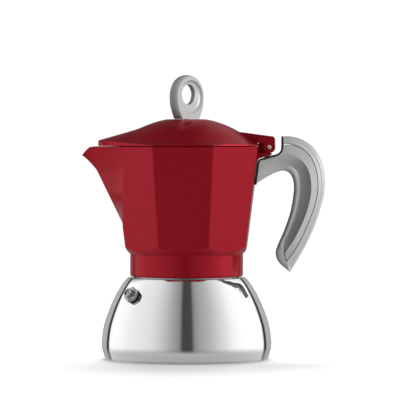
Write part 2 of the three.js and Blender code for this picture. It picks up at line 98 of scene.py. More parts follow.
def clean(mesh):
    """Merges points that coincide, drops what that flattens, and turns every face outwards."""
    bm = bmesh.new()
    bm.from_mesh(mesh)
    bmesh.ops.remove_doubles(bm, verts=bm.verts, dist=MERGE * MM)
    bmesh.ops.dissolve_degenerate(bm, edges=bm.edges, dist=MERGE * MM)
    bmesh.ops.recalc_face_normals(bm, faces=bm.faces)
    bm.to_mesh(mesh)
    bm.free()


def make(name, shape, material, body, node=None, sharp=30):
    """Adds one piece that needs no cutting."""
    obj = mesh_object(name, shape)
    finish_piece(obj, material, body, node, sharp)


def piece_from(obj, name, material, body, node, sharp):
    """Turns a scratch solid into a named piece."""
    obj.name = name
    obj.data.name = name
    clean(obj.data)
    finish_piece(obj, material, body, node, sharp)


def finish_piece(obj, material, body, node, sharp):
    """Shades a piece, says which body carries it, and hides the CAD node that it stands for, if any."""
    obj.data.shade_smooth()
    obj.data.set_sharp_from_angle(angle=math.radians(sharp))
    even = obj.modifiers.new("even_normals", "WEIGHTED_NORMAL")
    even.keep_sharp = True
    obj.data.materials.clear()
    obj.data.materials.append(material)
    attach(obj, body)
    if node:
        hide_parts(node)


def scratch(shape):
    """A solid that is only used to cut or join, or that becomes a piece later."""
    return mesh_object("scratch", shape)


def cut(obj, shape):
    combine(obj, scratch(shape), "DIFFERENCE")


def combine(obj, tool, operation):
    """DIFFERENCE, UNION or INTERSECT of obj with tool; the tool is deleted."""
    boolean = obj.modifiers.new("boolean", "BOOLEAN")
    boolean.object = tool
    boolean.operation = operation
    boolean.solver = "EXACT"
    apply_modifiers(obj)
    bpy.data.objects.remove(tool)


def apply_modifiers(obj):
    depsgraph = bpy.context.evaluated_depsgraph_get()
    mesh = bpy.data.meshes.new_from_object(obj.evaluated_get(depsgraph))
    obj.modifiers.clear()
    old = obj.data
    obj.data = mesh
    bpy.data.meshes.remove(old)


def bevel(obj, width, segments=3, angle=30):
    rounder = obj.modifiers.new("bevel", "BEVEL")
    rounder.width = width * MM
    rounder.segments = segments
    rounder.limit_method = "ANGLE"
    rounder.angle_limit = math.radians(angle)
    rounder.use_clamp_overlap = True
    apply_modifiers(obj)


def skin(rings, closed=False, first_cap=True, last_cap=True):
    """Joins rings of equal length with quads. closed joins the last to the first; caps close the ends."""
    count = len(rings[0])
    verts = [point for ring in rings for point in ring]
    faces = []
    spans = len(rings) if closed else len(rings) - 1
    for j in range(spans):
        low = j * count
        high = ((j + 1) % len(rings)) * count
        for i in range(count):
            k = (i + 1) % count
            faces.append((low + i, low + k, high + k, high + i))
    if not closed and first_cap:
        faces.append(tuple(reversed(range(count))))
    if not closed and last_cap:
        faces.append(tuple(range(len(verts) - count, len(verts))))
    return verts, faces


def circle(r, z, count, x=0.0, y=0.0):
    angles = [TAU * i / count for i in range(count)]
    return [(x + r * math.cos(a), y + r * math.sin(a), z) for a in angles]


def revolve(profile, count=128, closed=True):
    """Turns (r, z) points about +Z. An open profile starts and ends on the axis."""
    return skin([circle(max(r, 0.001), z, count) for r, z in profile], closed=closed)


def quadratic(a, pull, b, t):
    """A place on the curve from a to b that leans towards pull."""
    return a * (1 - t) ** 2 + pull * 2 * t * (1 - t) + b * t * t


def hermite(a, leave, b, arrive, t):
    """A place on the curve from a to b with the slopes leave and arrive."""
    return (a * (2 * t ** 3 - 3 * t ** 2 + 1) + leave * (t ** 3 - 2 * t ** 2 + t)
            + b * (3 * t ** 2 - 2 * t ** 3) + arrive * (t ** 3 - t ** 2))


def clamp(value):
    return min(1.0, max(0.0, value))


def rounded(points, radii, steps=4, closed=True):
    """Rounds an outline's corners. radii is one number, or one for each point."""
    if not isinstance(radii, (list, tuple)):
        radii = [radii] * len(points)
    result = []
    total = len(points)
    for i, (point, radius) in enumerate(zip(points, radii)):
        if not closed and i in (0, total - 1):
            result.append(tuple(point))
            continue
        here = Vector(point)
        back = Vector(points[i - 1]) - here
        ahead = Vector(points[(i + 1) % total]) - here
        if radius <= 0 or back.length < 1e-6 or ahead.length < 1e-6:
            result.append(tuple(here))
            continue
        bend = math.pi - back.angle(ahead)
        reach = min(radius * math.tan(bend / 2), 0.45 * back.length, 0.45 * ahead.length)
        start = here + back.normalized() * reach
        end = here + ahead.normalized() * reach
        for k in range(steps + 1):
            result.append(tuple(quadratic(start, here, end, k / steps)))
    return result


def spline(points, count):
    """Catmull-Rom curve through the points, with count spans in all."""
    points = [Vector(p) for p in points]
    spans = len(points) - 1
    result = []
    for i in range(count + 1):
        place = spans * i / count
        index = min(int(place), spans - 1)
        t = place - index
        p1 = points[index]
        p2 = points[index + 1]
        p0 = points[index - 1] if index else p1
        p3 = points[index + 2] if index + 2 <= spans else p2
        v0 = (p2 - p0) / 2
        v1 = (p3 - p1) / 2
        result.append(hermite(p1, v0, p2, v1, t))
    return [tuple(p) for p in result]


def arc(cx, cz, r, start, end, steps):
    angles = [math.radians(start + (end - start) * i / steps) for i in range(steps + 1)]
    return [(cx + r * math.cos(a), cz + r * math.sin(a)) for a in angles]


def plate(outline, low_y, high_y):
    """An (x, z) outline pulled along Y."""
    return skin([[(x, low_y, z) for x, z in outline], [(x, high_y, z) for x, z in outline]])


def prism(outline, low, high):
    """An (x, y) outline pulled along Z."""
    return skin([[(x, y, low) for x, y in outline], [(x, y, high) for x, y in outline]])


def upright(r, low, high, x=0.0, count=40):
    """A rod along Z."""
    return skin([circle(r, low, count, x), circle(r, high, count, x)])


def rod_along_y(r, x, z, half, count=48):
    return plate([point[:2] for point in circle(r, 0, count, x, z)], -half, half)


def mix(a, b, t):
    return a + (b - a) * t


def smooth_max(a, b, soft):
    return (a + b + math.sqrt((a - b) ** 2 + soft * soft)) / 2


# ---------------------------------------------------------------- materials
NOISE_LOW = 0.3
NOISE_HIGH = 0.7


def shader(name):
    material = bpy.data.materials.new(name)
    material.use_nodes = True
    tree = material.node_tree
    return material, tree.nodes, tree.links, tree.nodes["Principled BSDF"]


def set_inputs(node, values):
    for name, value in values.items():
        node.inputs[name].default_value = value


def noise_bump(nodes, links, target, scale, strength, stretch=(1, 1, 1)):
    """Fine surface relief from object-space noise. scale is in features per metre."""
    place = nodes.new("ShaderNodeTexCoord")
    mapping = nodes.new("ShaderNodeMapping")
    noise = nodes.new("ShaderNodeTexNoise")
    bump = nodes.new("ShaderNodeBump")
    set_inputs(mapping, {"Scale": stretch})
    set_inputs(noise, {"Scale": scale, "Detail": 4.0})
    set_inputs(bump, {"Strength": strength, "Distance": 0.05 * MM})
    links.new(place.outputs["Object"], mapping.inputs["Vector"])
    links.new(mapping.outputs["Vector"], noise.inputs["Vector"])
    links.new(noise.outputs["Fac"], bump.inputs["Height"])
    links.new(bump.outputs["Normal"], target.inputs["Normal"])
    return noise


def vary(nodes, links, noise, socket, low, high):
    """Drives a shader value between low and high by a noise."""
    spread = nodes.new("ShaderNodeMapRange")
    set_inputs(spread, {"From Min": NOISE_LOW, "From Max": NOISE_HIGH, "To Min": low, "To Max": high})
    links.new(noise.outputs["Fac"], spread.inputs["Value"])
    links.new(spread.outputs["Result"], socket)


def vary_colour(nodes, links, noise, socket, low, high):
    ramp = nodes.new("ShaderNodeValToRGB")
    for element, place, colour in zip(ramp.color_ramp.elements, (NOISE_LOW, NOISE_HIGH), (low, high)):
        element.position = place
        element.color = (*colour, 1)
    links.new(noise.outputs["Fac"], ramp.inputs["Fac"])
    links.new(ramp.outputs["Color"], socket)


def surface(name, low, high, rough, relief, values):
    """A material whose colour and roughness wander. relief is (scale, strength) and maybe the stretch."""
    material, nodes, links, base = shader(name)
    set_inputs(base, values)
    noise = noise_bump(nodes, links, base, *relief)
    vary_colour(nodes, links, noise, base.inputs["Base Color"], low, high)
    vary(nodes, links, noise, base.inputs["Roughness"], *rough)
    return material


def metal(name, low, high, rough, *relief):
    return surface(name, low, high, rough, relief, {"Metallic": 1.0})


def red_lacquer():
    values = {"Coat Weight": 0.12, "Coat Roughness": 0.04, "Coat IOR": 1.5, "Metallic": 0.45,
              "Specular Tint": (0.8, 0.3, 0.36, 1), "Specular IOR Level": 0.1}
    low = (0.318, 0.0082, 0.0178)
    high = (0.346, 0.0094, 0.0201)
    return surface("red_lacquer", low, high, (0.26, 0.32), (1400, 0.02), values)


def plastic(name, low, high, rough, relief=(2600, 0.12), metallic=0.0, coat=0.0, specular=0.5):
    values = {"Metallic": metallic, "Specular IOR Level": specular, "Coat Weight": coat,
              "Coat Roughness": 0.2}
    return surface(name, low, high, rough, relief, values)


STEEL = metal("polished_steel", (0.76, 0.77, 0.77), (0.80, 0.81, 0.81), (0.05, 0.075), 500, 0.02, (1, 1, 30))
VALVE_STEEL = metal("valve_steel", (0.36, 0.37, 0.37), (0.50, 0.51, 0.51), (0.10, 0.18), 1500, 0.06)
PIN_STEEL = metal("pin_steel", (0.86, 0.86, 0.85), (0.92, 0.92, 0.91), (0.25, 0.35), 1500, 0.05)
SCREW_STEEL = metal("screw_steel", (0.55, 0.56, 0.56), (0.68, 0.69, 0.68), (0.2, 0.3), 1500, 0.1)
BRASS = metal("valve_brass", (0.62, 0.44, 0.16), (0.76, 0.57, 0.24), (0.2, 0.32), 1500, 0.1)
CAST = metal("cast_aluminium", (0.62, 0.63, 0.63), (0.74, 0.75, 0.75), (0.34, 0.48), 1300, 0.45)
PRESSED = metal("pressed_aluminium", (0.72, 0.73, 0.73), (0.80, 0.81, 0.81), (0.22, 0.32), 1300, 0.12)
RED = red_lacquer()
SILVER = plastic("silver_plastic", (0.20, 0.20, 0.196), (0.23, 0.23, 0.226), (0.36, 0.42), (2600, 0.03),
                 metallic=0.1, specular=0.25)
BLACK = plastic("black_plastic", (0.012, 0.012, 0.012), (0.02, 0.02, 0.019), (0.22, 0.32), coat=0.3)
DARK_RUBBER = plastic("dark_rubber", (0.02, 0.02, 0.02), (0.035, 0.035, 0.035), (0.5, 0.65), (1800, 0.3))
RUBBER = plastic("seal_rubber", (0.72, 0.68, 0.58), (0.78, 0.74, 0.65), (0.6, 0.75), (1800, 0.3))


# ---------------------------------------------------------------- boiler
# The bell's side as (r, z), from the top of its rounded foot to the start of its lip.
BELL = [(48.9, 3.2), (49.75, 6.2), (49.98, 9.2), (49.7, 13.4), (48.6, 20.0), (46.2, 27.5), (43.2, 34.6),
        (40.0, 40.5), (37.4, 44.6), (35.4, 47.0)]
AXIS_R = 0.001              # stands for the axis, where a profile starts or ends


def bell_curve(inset, low, high, count=60):
    """The bell's side, moved inwards by inset, between two heights."""
    line = spline(BELL, count)
    moved = []
    for i, (r, z) in enumerate(line):
        back = Vector(line[max(0, i - 1)])
        ahead = Vector(line[min(len(line) - 1, i + 1)])
        run = (ahead - back).normalized()
        moved.append((r - run.y * inset, z + run.x * inset))
    return [(r, z) for r, z in moved if low <= z <= high]


def boiler_shell():
    foot = rounded([(42.6, 0.0), (47.9, 0.0), BELL[0]], [0, 5.5, 0], 6, False)[1:-1]
    outer = bell_curve(0, 0, 60)
    lip = [outer[-1], (34.4, 48.0), (31.0, 48.0), (31.0, 46.7), (33.8, 46.7)]
    lip = rounded(lip, [0, 0.9, 0.4, 0, 0], 5, False)[1:]
    inner = list(reversed(bell_curve(1.3, 6, 46)))
    floor = rounded([inner[-1], (47.3, 2.6), (AXIS_R, 2.6)], [0, 3.5, 0], 6, False)[1:]
    profile = [(AXIS_R, 0.0), (42.6, 0.0)] + foot + outer + lip + inner + floor
    shell = scratch(revolve(profile, 192, closed=False))
    cut(shell, valve_hole())
    piece_from(shell, "boiler_bell", STEEL, "boiler", "boiler_shell", 35)


def boiler_liner():
    outer = bell_curve(1.6, 8, 46)
    inner = list(reversed(bell_curve(4.0, 10, 42)))
    base = [(AXIS_R, 2.9)] + rounded([(AXIS_R, 2.9), (46.4, 2.9), outer[0]], [0, 4, 0], 6, False)[1:-1]
    neck = [outer[-1], (33.2, 46.4), (29.7, 46.4), (29.7, NECK_TOP), (NECK_BORE_R, NECK_TOP),
            (NECK_BORE_R, 43.0), inner[0]]
    neck = rounded(neck, [0, 0.6, 0.5, 0.5, 0.4, 2.0, 0], 4, False)[1:-1]
    floor = rounded([inner[-1], (43.8, 5.3), (AXIS_R, 5.3)], [0, 5, 0], 6, False)[1:]
    liner = scratch(revolve(base + outer + neck + inner + floor, 144, closed=False))
    cut(liner, valve_hole())
    piece_from(liner, "boiler_inner_pot", CAST, "boiler", "boiler_liner", 35)


def helical_ridge(name, root_r, crest_r, low, turns, material, body, width=1.5, count=96):
    """A screw thread's ridge that runs out at both ends."""
    rings = []
    steps = int(count * turns)
    for i in range(steps + 1):
        share = i / steps
        angle = TAU * turns * share
        ease = min(1.0, 8 * share, 8 * (1 - share))
        crest = mix(root_r, crest_r, ease)
        z = low + THREAD_PITCH * turns * share
        base = root_r + (-0.3 if crest_r > root_r else 0.3)
        outline = [(root_r, -width / 2), (crest, -0.25 * width), (crest, 0.25 * width), (root_r, width / 2),
                   (base, 0.0)]
        rings.append([(r * math.cos(angle), r * math.sin(angle), z + dz) for r, dz in outline])
    make(name, skin(rings), material, body)


# ---------------------------------------------------------------- safety valve
VALVE_ROUND = math.radians(135)
VALVE_TILT = math.radians(29)
VALVE_FOOT_R = 41.3
VALVE_FOOT_Z = 38.05
VALVE_FOOT = Vector((VALVE_FOOT_R * math.cos(VALVE_ROUND),
                     -VALVE_FOOT_R * math.sin(VALVE_ROUND),
                     VALVE_FOOT_Z))
VALVE_AXIS = Vector((math.cos(VALVE_ROUND) * math.cos(VALVE_TILT),
                     -math.sin(VALVE_ROUND) * math.cos(VALVE_TILT),
                     math.sin(VALVE_TILT)))
VALVE_ACROSS = Vector((0, 0, 1)).cross(VALVE_AXIS).normalized()
VALVE_TURN = Matrix((VALVE_ACROSS, VALVE_AXIS.cross(VALVE_ACROSS), VALVE_AXIS)).transposed()
HEX_ACROSS = 8.4
HEX_LOW = 1.0
HEX_HIGH = 3.5
VALVE_END = 5.7


def on_valve(shape):
    """Moves a shape made upright at the origin to the valve's place."""
    verts, faces = shape
    return [tuple(VALVE_FOOT + VALVE_TURN @ Vector(v)) for v in verts], faces


def valve_hole():
    return on_valve(revolve([(AXIS_R, -12), (3.7, -12), (3.7, 12), (AXIS_R, 12)], 48, closed=False))


def hex_radius(angle):
    """Distance from the middle to a hexagon's side."""
    turn = (angle + math.pi / 6) % (math.pi / 3) - math.pi / 6
    return HEX_ACROSS / 2 / math.cos(turn)


def hex_ring(limit, z, count):
    """A hexagon whose corners are turned down to the radius limit."""
    ring = []
    for i in range(count):
        angle = TAU * i / count
        r = min(hex_radius(angle), limit)
        ring.append((r * math.cos(angle), r * math.sin(angle), z))
    return ring


def valve_hexagon(count=120):
    shank = [(1.0, -6), (3.2, -6), (3.4, -5.8), (3.4, HEX_LOW)]
    chamfer = [(4.0, HEX_LOW), (4.5, HEX_LOW + 0.3), (6, HEX_LOW + 0.9), (6, HEX_HIGH - 0.9),
               (4.5, HEX_HIGH - 0.3), (4.0, HEX_HIGH)]
    tip = [(3.6, HEX_HIGH), (3.5, HEX_HIGH + 0.1), (3.5, HEX_HIGH + 0.45), (3.35, HEX_HIGH + 0.6),
           (2.4, HEX_HIGH + 0.65), (2.3, HEX_HIGH + 0.8), (2.3, HEX_HIGH + 1.15), (2.4, HEX_HIGH + 1.3),
           (2.6, HEX_HIGH + 1.35), (2.7, HEX_HIGH + 1.45), (2.7, VALVE_END - 0.3), (2.55, VALVE_END - 0.05),
           (2.4, VALVE_END), (2.1, VALVE_END), (1.92, VALVE_END - 0.15), (1.9, VALVE_END - 0.4), (1.9, -3.1),
           (1.0, -4)]
    rings = [circle(r, z, count) for r, z in shank]
    rings += [hex_ring(limit, z, count) for limit, z in chamfer]
    rings += [circle(r, z, count) for r, z in tip]
    make("valve_hexagon", on_valve(skin(rings, closed=True)), VALVE_STEEL, "boiler", "valve_body", 28)


def valve_ring(name, inner_r, outer_r, low, high, material, node):
    outline = rounded([(inner_r, low), (outer_r, low), (outer_r, high), (inner_r, high)], 0.12, 3)
    make(name, on_valve(revolve(outline, 64)), material, "boiler", node)


def valve_stem():
    end = VALVE_END - 0.5
    outline = [(AXIS_R, -3.7), (0.7, -3.7), (1.5, -2.8), (1.5, -2), (0.6, -2), (0.6, end), (AXIS_R, end)]
    outline = rounded(outline, [0, 0.1, 0.2, 0.1, 0.1, 0.25, 0], 3, False)
    shape = on_valve(revolve(outline, 48, closed=False))
    make("valve_stem", shape, BRASS, "valve_plunger", "valve_plunger")


def valve():
    valve_hexagon()
    valve_ring("valve_sealing_ring", 3.7, 4.4, 0.35, 0.7, DARK_RUBBER, "valve_washer")
    valve_ring("valve_end_ring", 0.9, 1.72, VALVE_END - 1.5, VALVE_END - 0.7, VALVE_STEEL, "valve_retainer")
    valve_stem()
    coil()


def coil(turns=5, around=36, wire=0.2, radius=1.25, low=-0.5, high=3.6):
    rings = []
    steps = turns * around
    for i in range(steps + 1):
        angle = TAU * turns * i / steps
        z = mix(low, high, i / steps)
        middle = Vector((radius * math.cos(angle), radius * math.sin(angle), z))
        out = Vector((math.cos(angle), math.sin(angle), 0))
        up = Vector((0, 0, 1))
        rings.append([tuple(middle + out * wire * math.cos(TAU * k / 10) + up * wire * math.sin(TAU * k / 10))
                      for k in range(10)])
    make("valve_coil_spring", on_valve(skin(rings)), VALVE_STEEL, "boiler", "valve_spring")


# ---------------------------------------------------------------- funnel, gasket, filter
def perforated_disc(outline_r, holes, hole_r, lift, thick, around=12):
    """A disc with round holes. lift(r) gives the height of its lower face."""
    rim = 120
    coords = [point[:2] for point in circle(outline_r, 0, rim)]
    loops = [list(range(rim))]
    for x, y in holes:
        start = len(coords)
        coords += [point[:2] for point in circle(hole_r, 0, around, x, y)]
        loops.append(list(range(start, start + around)))
    edges = [(loop[i], loop[(i + 1) % len(loop)]) for loop in loops for i in range(len(loop))]
    flat, _, faces, _, _, _ = delaunay_2d_cdt([Vector(c) for c in coords], edges, [], 1, 1e-6)
    inside = []
    for face in faces:
        middle = sum((flat[i] for i in face), Vector((0, 0))) / len(face)
        if not any((middle - Vector(h)).length < hole_r * 0.98 for h in holes):
            inside.append(face)
    count = len(flat)
    verts = [(p.x, p.y, lift(p.length)) for p in flat] + [(p.x, p.y, lift(p.length) + thick) for p in flat]
    solid = [tuple(reversed(f)) for f in inside] + [tuple(i + count for i in f) for f in inside]
    for loop in loops:
        for i, a in enumerate(loop):
            b = loop[(i + 1) % len(loop)]
            solid.append((a, b, b + count, a + count))
    return verts, solid


def ring_pattern(rings, pitch):
    """Places of holes: one in the middle, then 6, 12, 18 and so on around it."""
    places = [(0.0, 0.0)]
    for n in range(1, rings + 1):
        total = 6 * n
        for k in range(total):
            angle = TAU * (k + 0.5 * (n % 2)) / total
            places.append((n * pitch * math.cos(angle), n * pitch * math.sin(angle)))
    return places


def funnel():
    rim_low = NECK_TOP + 0.3
    profile = [(3.6, 8.0), (4.6, 8.0), (5.2, 31.0), (24.0, 35.8), (27.0, 37.8), (27.0, rim_low),
               (29.8, rim_low), (29.8, rim_low + 1.0), (26.0, rim_low + 1.0), (26.0, 38.2), (23.6, 36.8),
               (4.2, 32.0)]
    radii = [0.3, 0.3, 5, 3, 1.5, 0.8, 0.4, 0.4, 1.0, 1.2, 3, 4]
    make("coffee_funnel", revolve(rounded(profile, radii, 6), 128), PRESSED, "funnel", "funnel", 40)
    sieve = perforated_disc(25.7, ring_pattern(8, 2.9), 0.55, lambda r: 38.5, 0.8)
    make("funnel_sieve", sieve, PRESSED, "funnel", "funnel_strainer")


def filter_lift(r):
    """The filter's middle stands higher than its flat rim."""
    return 61.8 + 1.2 * (1 - clamp((r - 22.0) / 1.8))


def seal_and_filter():
    profile = [(24.4, 59.1), (29.6, 59.1), (29.6, 61.5), (24.4, 61.5)]
    make("gasket_ring", revolve(rounded(profile, 0.7, 4), 128), RUBBER, "gasket", "gasket")
    disc = perforated_disc(28.8, ring_pattern(8, 2.55), 0.5, filter_lift, 0.8)
    make("filter_disc", disc, PRESSED, "filter_plate", "filter_plate")


# ---------------------------------------------------------------- collector
def octagon_r(z):
    return CONE_TOP_R + (RIM_R - CONE_TOP_R) * (z - CONE_TOP_Z) / (RIM_Z - CONE_TOP_Z)


def corner(z, k):
    angle = (k + 0.5) * EIGHTH
    return Vector((octagon_r(z) * math.cos(angle), octagon_r(z) * math.sin(angle)))


def crease(z):
    """Where the spout's side leaves the octagon: it slides back along the facet as the spout widens."""
    rise = max(0.0, (z - KEEL_START_Z) / (RIM_Z - KEEL_START_Z))
    share = 1 - 0.2245 * rise - 0.141 * rise * rise
    return corner(z, 2) + (corner(z, 3) - corner(z, 2)) * share


def keel(z):
    """(x, z) of the spout's front edge for the level whose corners are at height z."""
    facet = -octagon_r(z) * math.cos(EIGHTH / 2)
    if z <= KEEL_START_Z:
        return facet, z
    start = -octagon_r(KEEL_START_Z) * math.cos(EIGHTH / 2)
    if z <= KEEL_BEND[1]:
        return start + (KEEL_BEND[0] - start) * (z - KEEL_START_Z) / (KEEL_BEND[1] - KEEL_START_Z), z
    t = (z - KEEL_BEND[1]) / (RIM_Z - KEEL_BEND[1])
    return tuple(quadratic(a, pull, b, t) for a, pull, b in zip(KEEL_BEND, KEEL_PULL, SPOUT_TIP))


def inset_outline(points, wall):
    moved = []
    for i, point in enumerate(points):
        before = points[i - 1]
        after = points[(i + 1) % len(points)]
        a = (point - before).normalized()
        b = (after - point).normalized()
        inward = Vector((-(a.y + b.y), a.x + b.x)).normalized()
        reach = wall / max(0.4, inward.dot(Vector((-a.y, a.x))))
        moved.append(point + inward * reach)
    return moved


FACET_STEPS = 14
CORNER_STEPS = 4
CORNER_ROUND = 1.5


def section(z, inset=0.0, drop=0.0, bend=CORNER_ROUND):
    """The pot's outline at the level whose corners are at height z, as a ring of 3-D points."""
    nose, nose_z = keel(z)
    corners = [corner(z, 0), corner(z, 1), corner(z, 2), crease(z), Vector((nose, 0))]
    outline = corners + [Vector((p.x, -p.y)) for p in reversed(corners[:4])]
    if inset:
        outline = inset_outline(outline, inset)
    ring = soften(outline, bend)
    if z <= KEEL_BEND[1]:
        return [(p.x, p.y, z - drop) for p in ring]
    fold = outline[3]
    tip = outline[4]
    return [(p.x, p.y, lip_height(p, fold, tip, z, nose_z) - drop) for p in ring]


def soften(outline, bend):
    """Rounds the outline's corners and splits its straights, with the same number of points at any level."""
    total = len(outline)
    starts = []
    ends = []
    for i, point in enumerate(outline):
        back = outline[i - 1] - point
        ahead = outline[(i + 1) % total] - point
        turn = math.pi - back.angle(ahead)
        reach = min(bend * math.tan(turn / 2), 0.3 * back.length, 0.3 * ahead.length)
        starts.append(point + back.normalized() * reach)
        ends.append(point + ahead.normalized() * reach)
    ring = []
    for i, point in enumerate(outline):
        ring += [quadratic(starts[i], point, ends[i], k / CORNER_STEPS) for k in range(CORNER_STEPS + 1)]
        after = starts[(i + 1) % total]
        ring += [ends[i].lerp(after, k / FACET_STEPS) for k in range(1, FACET_STEPS)]
    return ring


def lip_height(p, fold, tip, z, nose_z):
    """The spout's lip dips from the level z towards its tip."""
    side = (tip - fold).length
    away = Vector((p.x, abs(p.y))) - fold
    share = clamp(away.dot((tip - fold) / side) / side)
    if share > LIP_START and p.x < fold.x:
        return z - (z - nose_z) * ((share - LIP_START) / (1 - LIP_START)) ** 1.35
    return z


def round_ring(like, r, z):
    """A circle whose points stand at the same bearings as another ring's."""
    ring = []
    for x, y, _ in like:
        length = math.hypot(x, y)
        ring.append((x / length * r, y / length * r, z))
    return ring


def cone_ring(lift=0.0):
    """Where the cone under the octagon cuts its sides, lifted along them by lift."""
    slope = (CONE_TOP_Z - COLLAR_TOP) / (CONE_TOP_R - COLLAR_R)
    grow = (RIM_R - CONE_TOP_R) / (RIM_Z - CONE_TOP_Z)
    ring = []
    for x, y, _ in section(CONE_TOP_Z):
        unit = math.hypot(x, y) / CONE_TOP_R
        # height z solves unit * octagon_r(z) = COLLAR_R + (z - COLLAR_TOP) / slope
        z = unit * (CONE_TOP_R - grow * CONE_TOP_Z) - COLLAR_R + COLLAR_TOP / slope
        z /= 1 / slope - unit * grow
        z += lift
        scale = octagon_r(z) / CONE_TOP_R
        ring.append((x * scale, y * scale, z))
    return ring


LEVELS = [73, 76, 77.5, 79.5, 82, 86, 90, 95, 100, 105, 109, 111, 112.5, 114, 115.5, 117, 118.5, 120, 121.5,
          123, 124.2]
COLLAR_ROUND = 1.1
FLOOR_WALL = 2.6            # the wall is thicker at the floor than at the rim
FLOOR_ROUND = 3.5


def between(first, second, t):
    """A ring part of the way from one ring to another."""
    return [tuple(mix(a, b, t) for a, b in zip(p, q)) for p, q in zip(first, second)]


def collar_rings(low):
    start_r = COLLAR_R - COLLAR_ROUND
    rings = [round_ring(low, NECK_R + 0.9, COLLAR_LOW), round_ring(low, start_r, COLLAR_LOW)]
    for k in range(1, 6):
        angle = math.radians(90 * k / 5)
        r = COLLAR_R - COLLAR_ROUND + COLLAR_ROUND * math.sin(angle)
        rings.append(round_ring(low, r, COLLAR_LOW + COLLAR_ROUND * (1 - math.cos(angle))))
    for z in (51.5, 55, 58.5, 61, COLLAR_TOP - 0.3):
        rings.append(round_ring(low, COLLAR_R, z))
    foot = round_ring(low, COLLAR_R + 0.15, COLLAR_TOP)
    rings += [between(foot, cone_ring(), t) for t in (0, 0.25, 0.5, 0.75, 0.9, 0.97)]
    return rings


def collector_rings():
    """Up the outside from the collar, over the rim, down the inside and out through the floor's hole."""
    low = section(CONE_TOP_Z)
    rings = collar_rings(low) + [cone_ring(0.12), cone_ring(0.45)]
    rings += [between(cone_ring(0.45), section(70), t) for t in (0.35, 0.7, 1.0)]
    rings += [section(z) for z in LEVELS]
    edge = ((0, 0.45), (0.12, 0.12), (0.45, 0))
    rings += [section(RIM_Z, inset, drop) for inset, drop in edge]
    rings += [section(RIM_Z, POT_WALL - inset, drop, 0.8) for inset, drop in reversed(edge)]
    for z in reversed(LEVELS):
        wall = mix(FLOOR_WALL, POT_WALL, (z - POT_FLOOR) / (RIM_Z - POT_FLOOR))
        rings.append(section(z, wall, 0, 0.8))
    floor = section(71, FLOOR_WALL, 0, 0.8)
    for k in range(0, 6):
        angle = math.radians(90 * k / 5)
        shrink = 1 - FLOOR_ROUND * (1 - math.cos(angle)) / 34
        rings.append([(x * shrink, y * shrink, 71 - FLOOR_ROUND * math.sin(angle)) for x, y, _ in floor])
    inward = [(5.6, POT_FLOOR), (5.2, POT_FLOOR - 0.3), (5.2, CHAMBER_TOP), (26.6, CHAMBER_TOP), (27.6, 63.9),
              (27.6, 62.9), (30.0, 62.9), (30.0, 59.1), (NECK_R + 0.9, 58.9)]
    return rings + [round_ring(low, r, z) for r, z in inward]


# Side views (x, z) of the lug that carries the handle, and of the knuckle that holds the pin.
LUG = [(38, 122), (40.5, 121.4), (44, 121), (50.1, 121), (50.3, 120.6), (49.6, 120), (44.3, 118.3),
       (42.6, 117.7), (41.6, 116.6), (38, 116)]
KNUCKLE = [(38.5, 119), (49.5, 119.6)] + arc(PIN_X, PIN_Z, KNUCKLE_R, -80, 120, 24)
KNUCKLE += [(42.55, 127.1), (42.1, 125.0), (42.1, 124.6), (38.5, 124.6)]
HANDLE_SCREW_X = 47.3


def collector():
    lug = scratch(plate(rounded(LUG, [0, 0.5, 0.8, 0.4, 0.2, 0.4, 0.8, 0.8, 0.5, 0], 4), -EAR_OUT, EAR_OUT))
    bevel(lug, 0.7)
    combine(lug, scratch(plate(KNUCKLE, -LUG_HALF, LUG_HALF)), "UNION")
    pot = scratch(skin(collector_rings(), closed=True))
    cut(lug, skin([section(z, 2.0) for z in (80, 100, 118, 126)]))
    combine(pot, lug, "UNION")
    cut(pot, rod_along_y(PIN_R + 0.25, PIN_X, PIN_Z, 12))
    cut(pot, upright(1.8, 100, 122, HANDLE_SCREW_X))
    piece_from(pot, "upper_pot", RED, "collector", "collector", 32)


def coffee_column():
    profile = [(2.4, 65.4), (4.9, 65.4), (4.9, 67.8), (8.0, 67.8), (8.0, 68.9), (5.2, 70.5), (3.8, 109.5),
               (3.4, 111.7), (2.4, 112.5), (AXIS_R, 112.5), (AXIS_R, 110.9), (2.2, 110.1)]
    radii = [0.2, 0.3, 0.2, 0.3, 0.4, 2, 1, 0.6, 0.6, 0, 0, 0.5]
    column = scratch(revolve(rounded(profile, radii, 5), 72))
    cut(column, plate([(-1.5, 105.3), (1.5, 105.3), (1.5, 109.7), (-1.5, 109.7)], -6, 6))
    piece_from(column, "coffee_riser", CAST, "collector", "coffee_column", 35)


# ---------------------------------------------------------------- lid
BRIM_START_R = 36.5         # where the dome starts to flatten, and where the brim ends
BRIM_END_R = 45.7
BRIM_END_Z = 125.8
BRIM_END_SLOPE = -0.12


def dome_height(r):
    """Round dome that flattens into a brim near the rim."""
    if r <= BRIM_START_R:
        return DOME_CENTRE + math.sqrt(DOME_R ** 2 - r ** 2)
    width = BRIM_END_R - BRIM_START_R
    drop = math.sqrt(DOME_R ** 2 - BRIM_START_R ** 2)
    return hermite(DOME_CENTRE + drop, width * (-BRIM_START_R / drop), BRIM_END_Z, width * BRIM_END_SLOPE,
                   (r - BRIM_START_R) / width)


def lid_height(x, y):
    """The dome, with the spout's ridged vault in front and a flat seat for the knob on top."""
    dome = dome_height(min(math.hypot(x, y), 47))
    vault = 139.3 + 0.285 * (x - VAULT_START) - 0.0105 * y * y
    vault -= 0.03 * max(0.0, x - VAULT_START) ** 2
    return -smooth_max(-smooth_max(dome, vault, 0.6), -SEAT_Z, 0.25)


# Points on each straight of half the outline, from the hinge round to the nose.
LID_SPANS = [16, 16, 6, 8, 1]
NOSE_X = -46.6              # where the nose leaves the spout's sides
NOSE_TIP_X = -52.3
NOSE_STEPS = 24


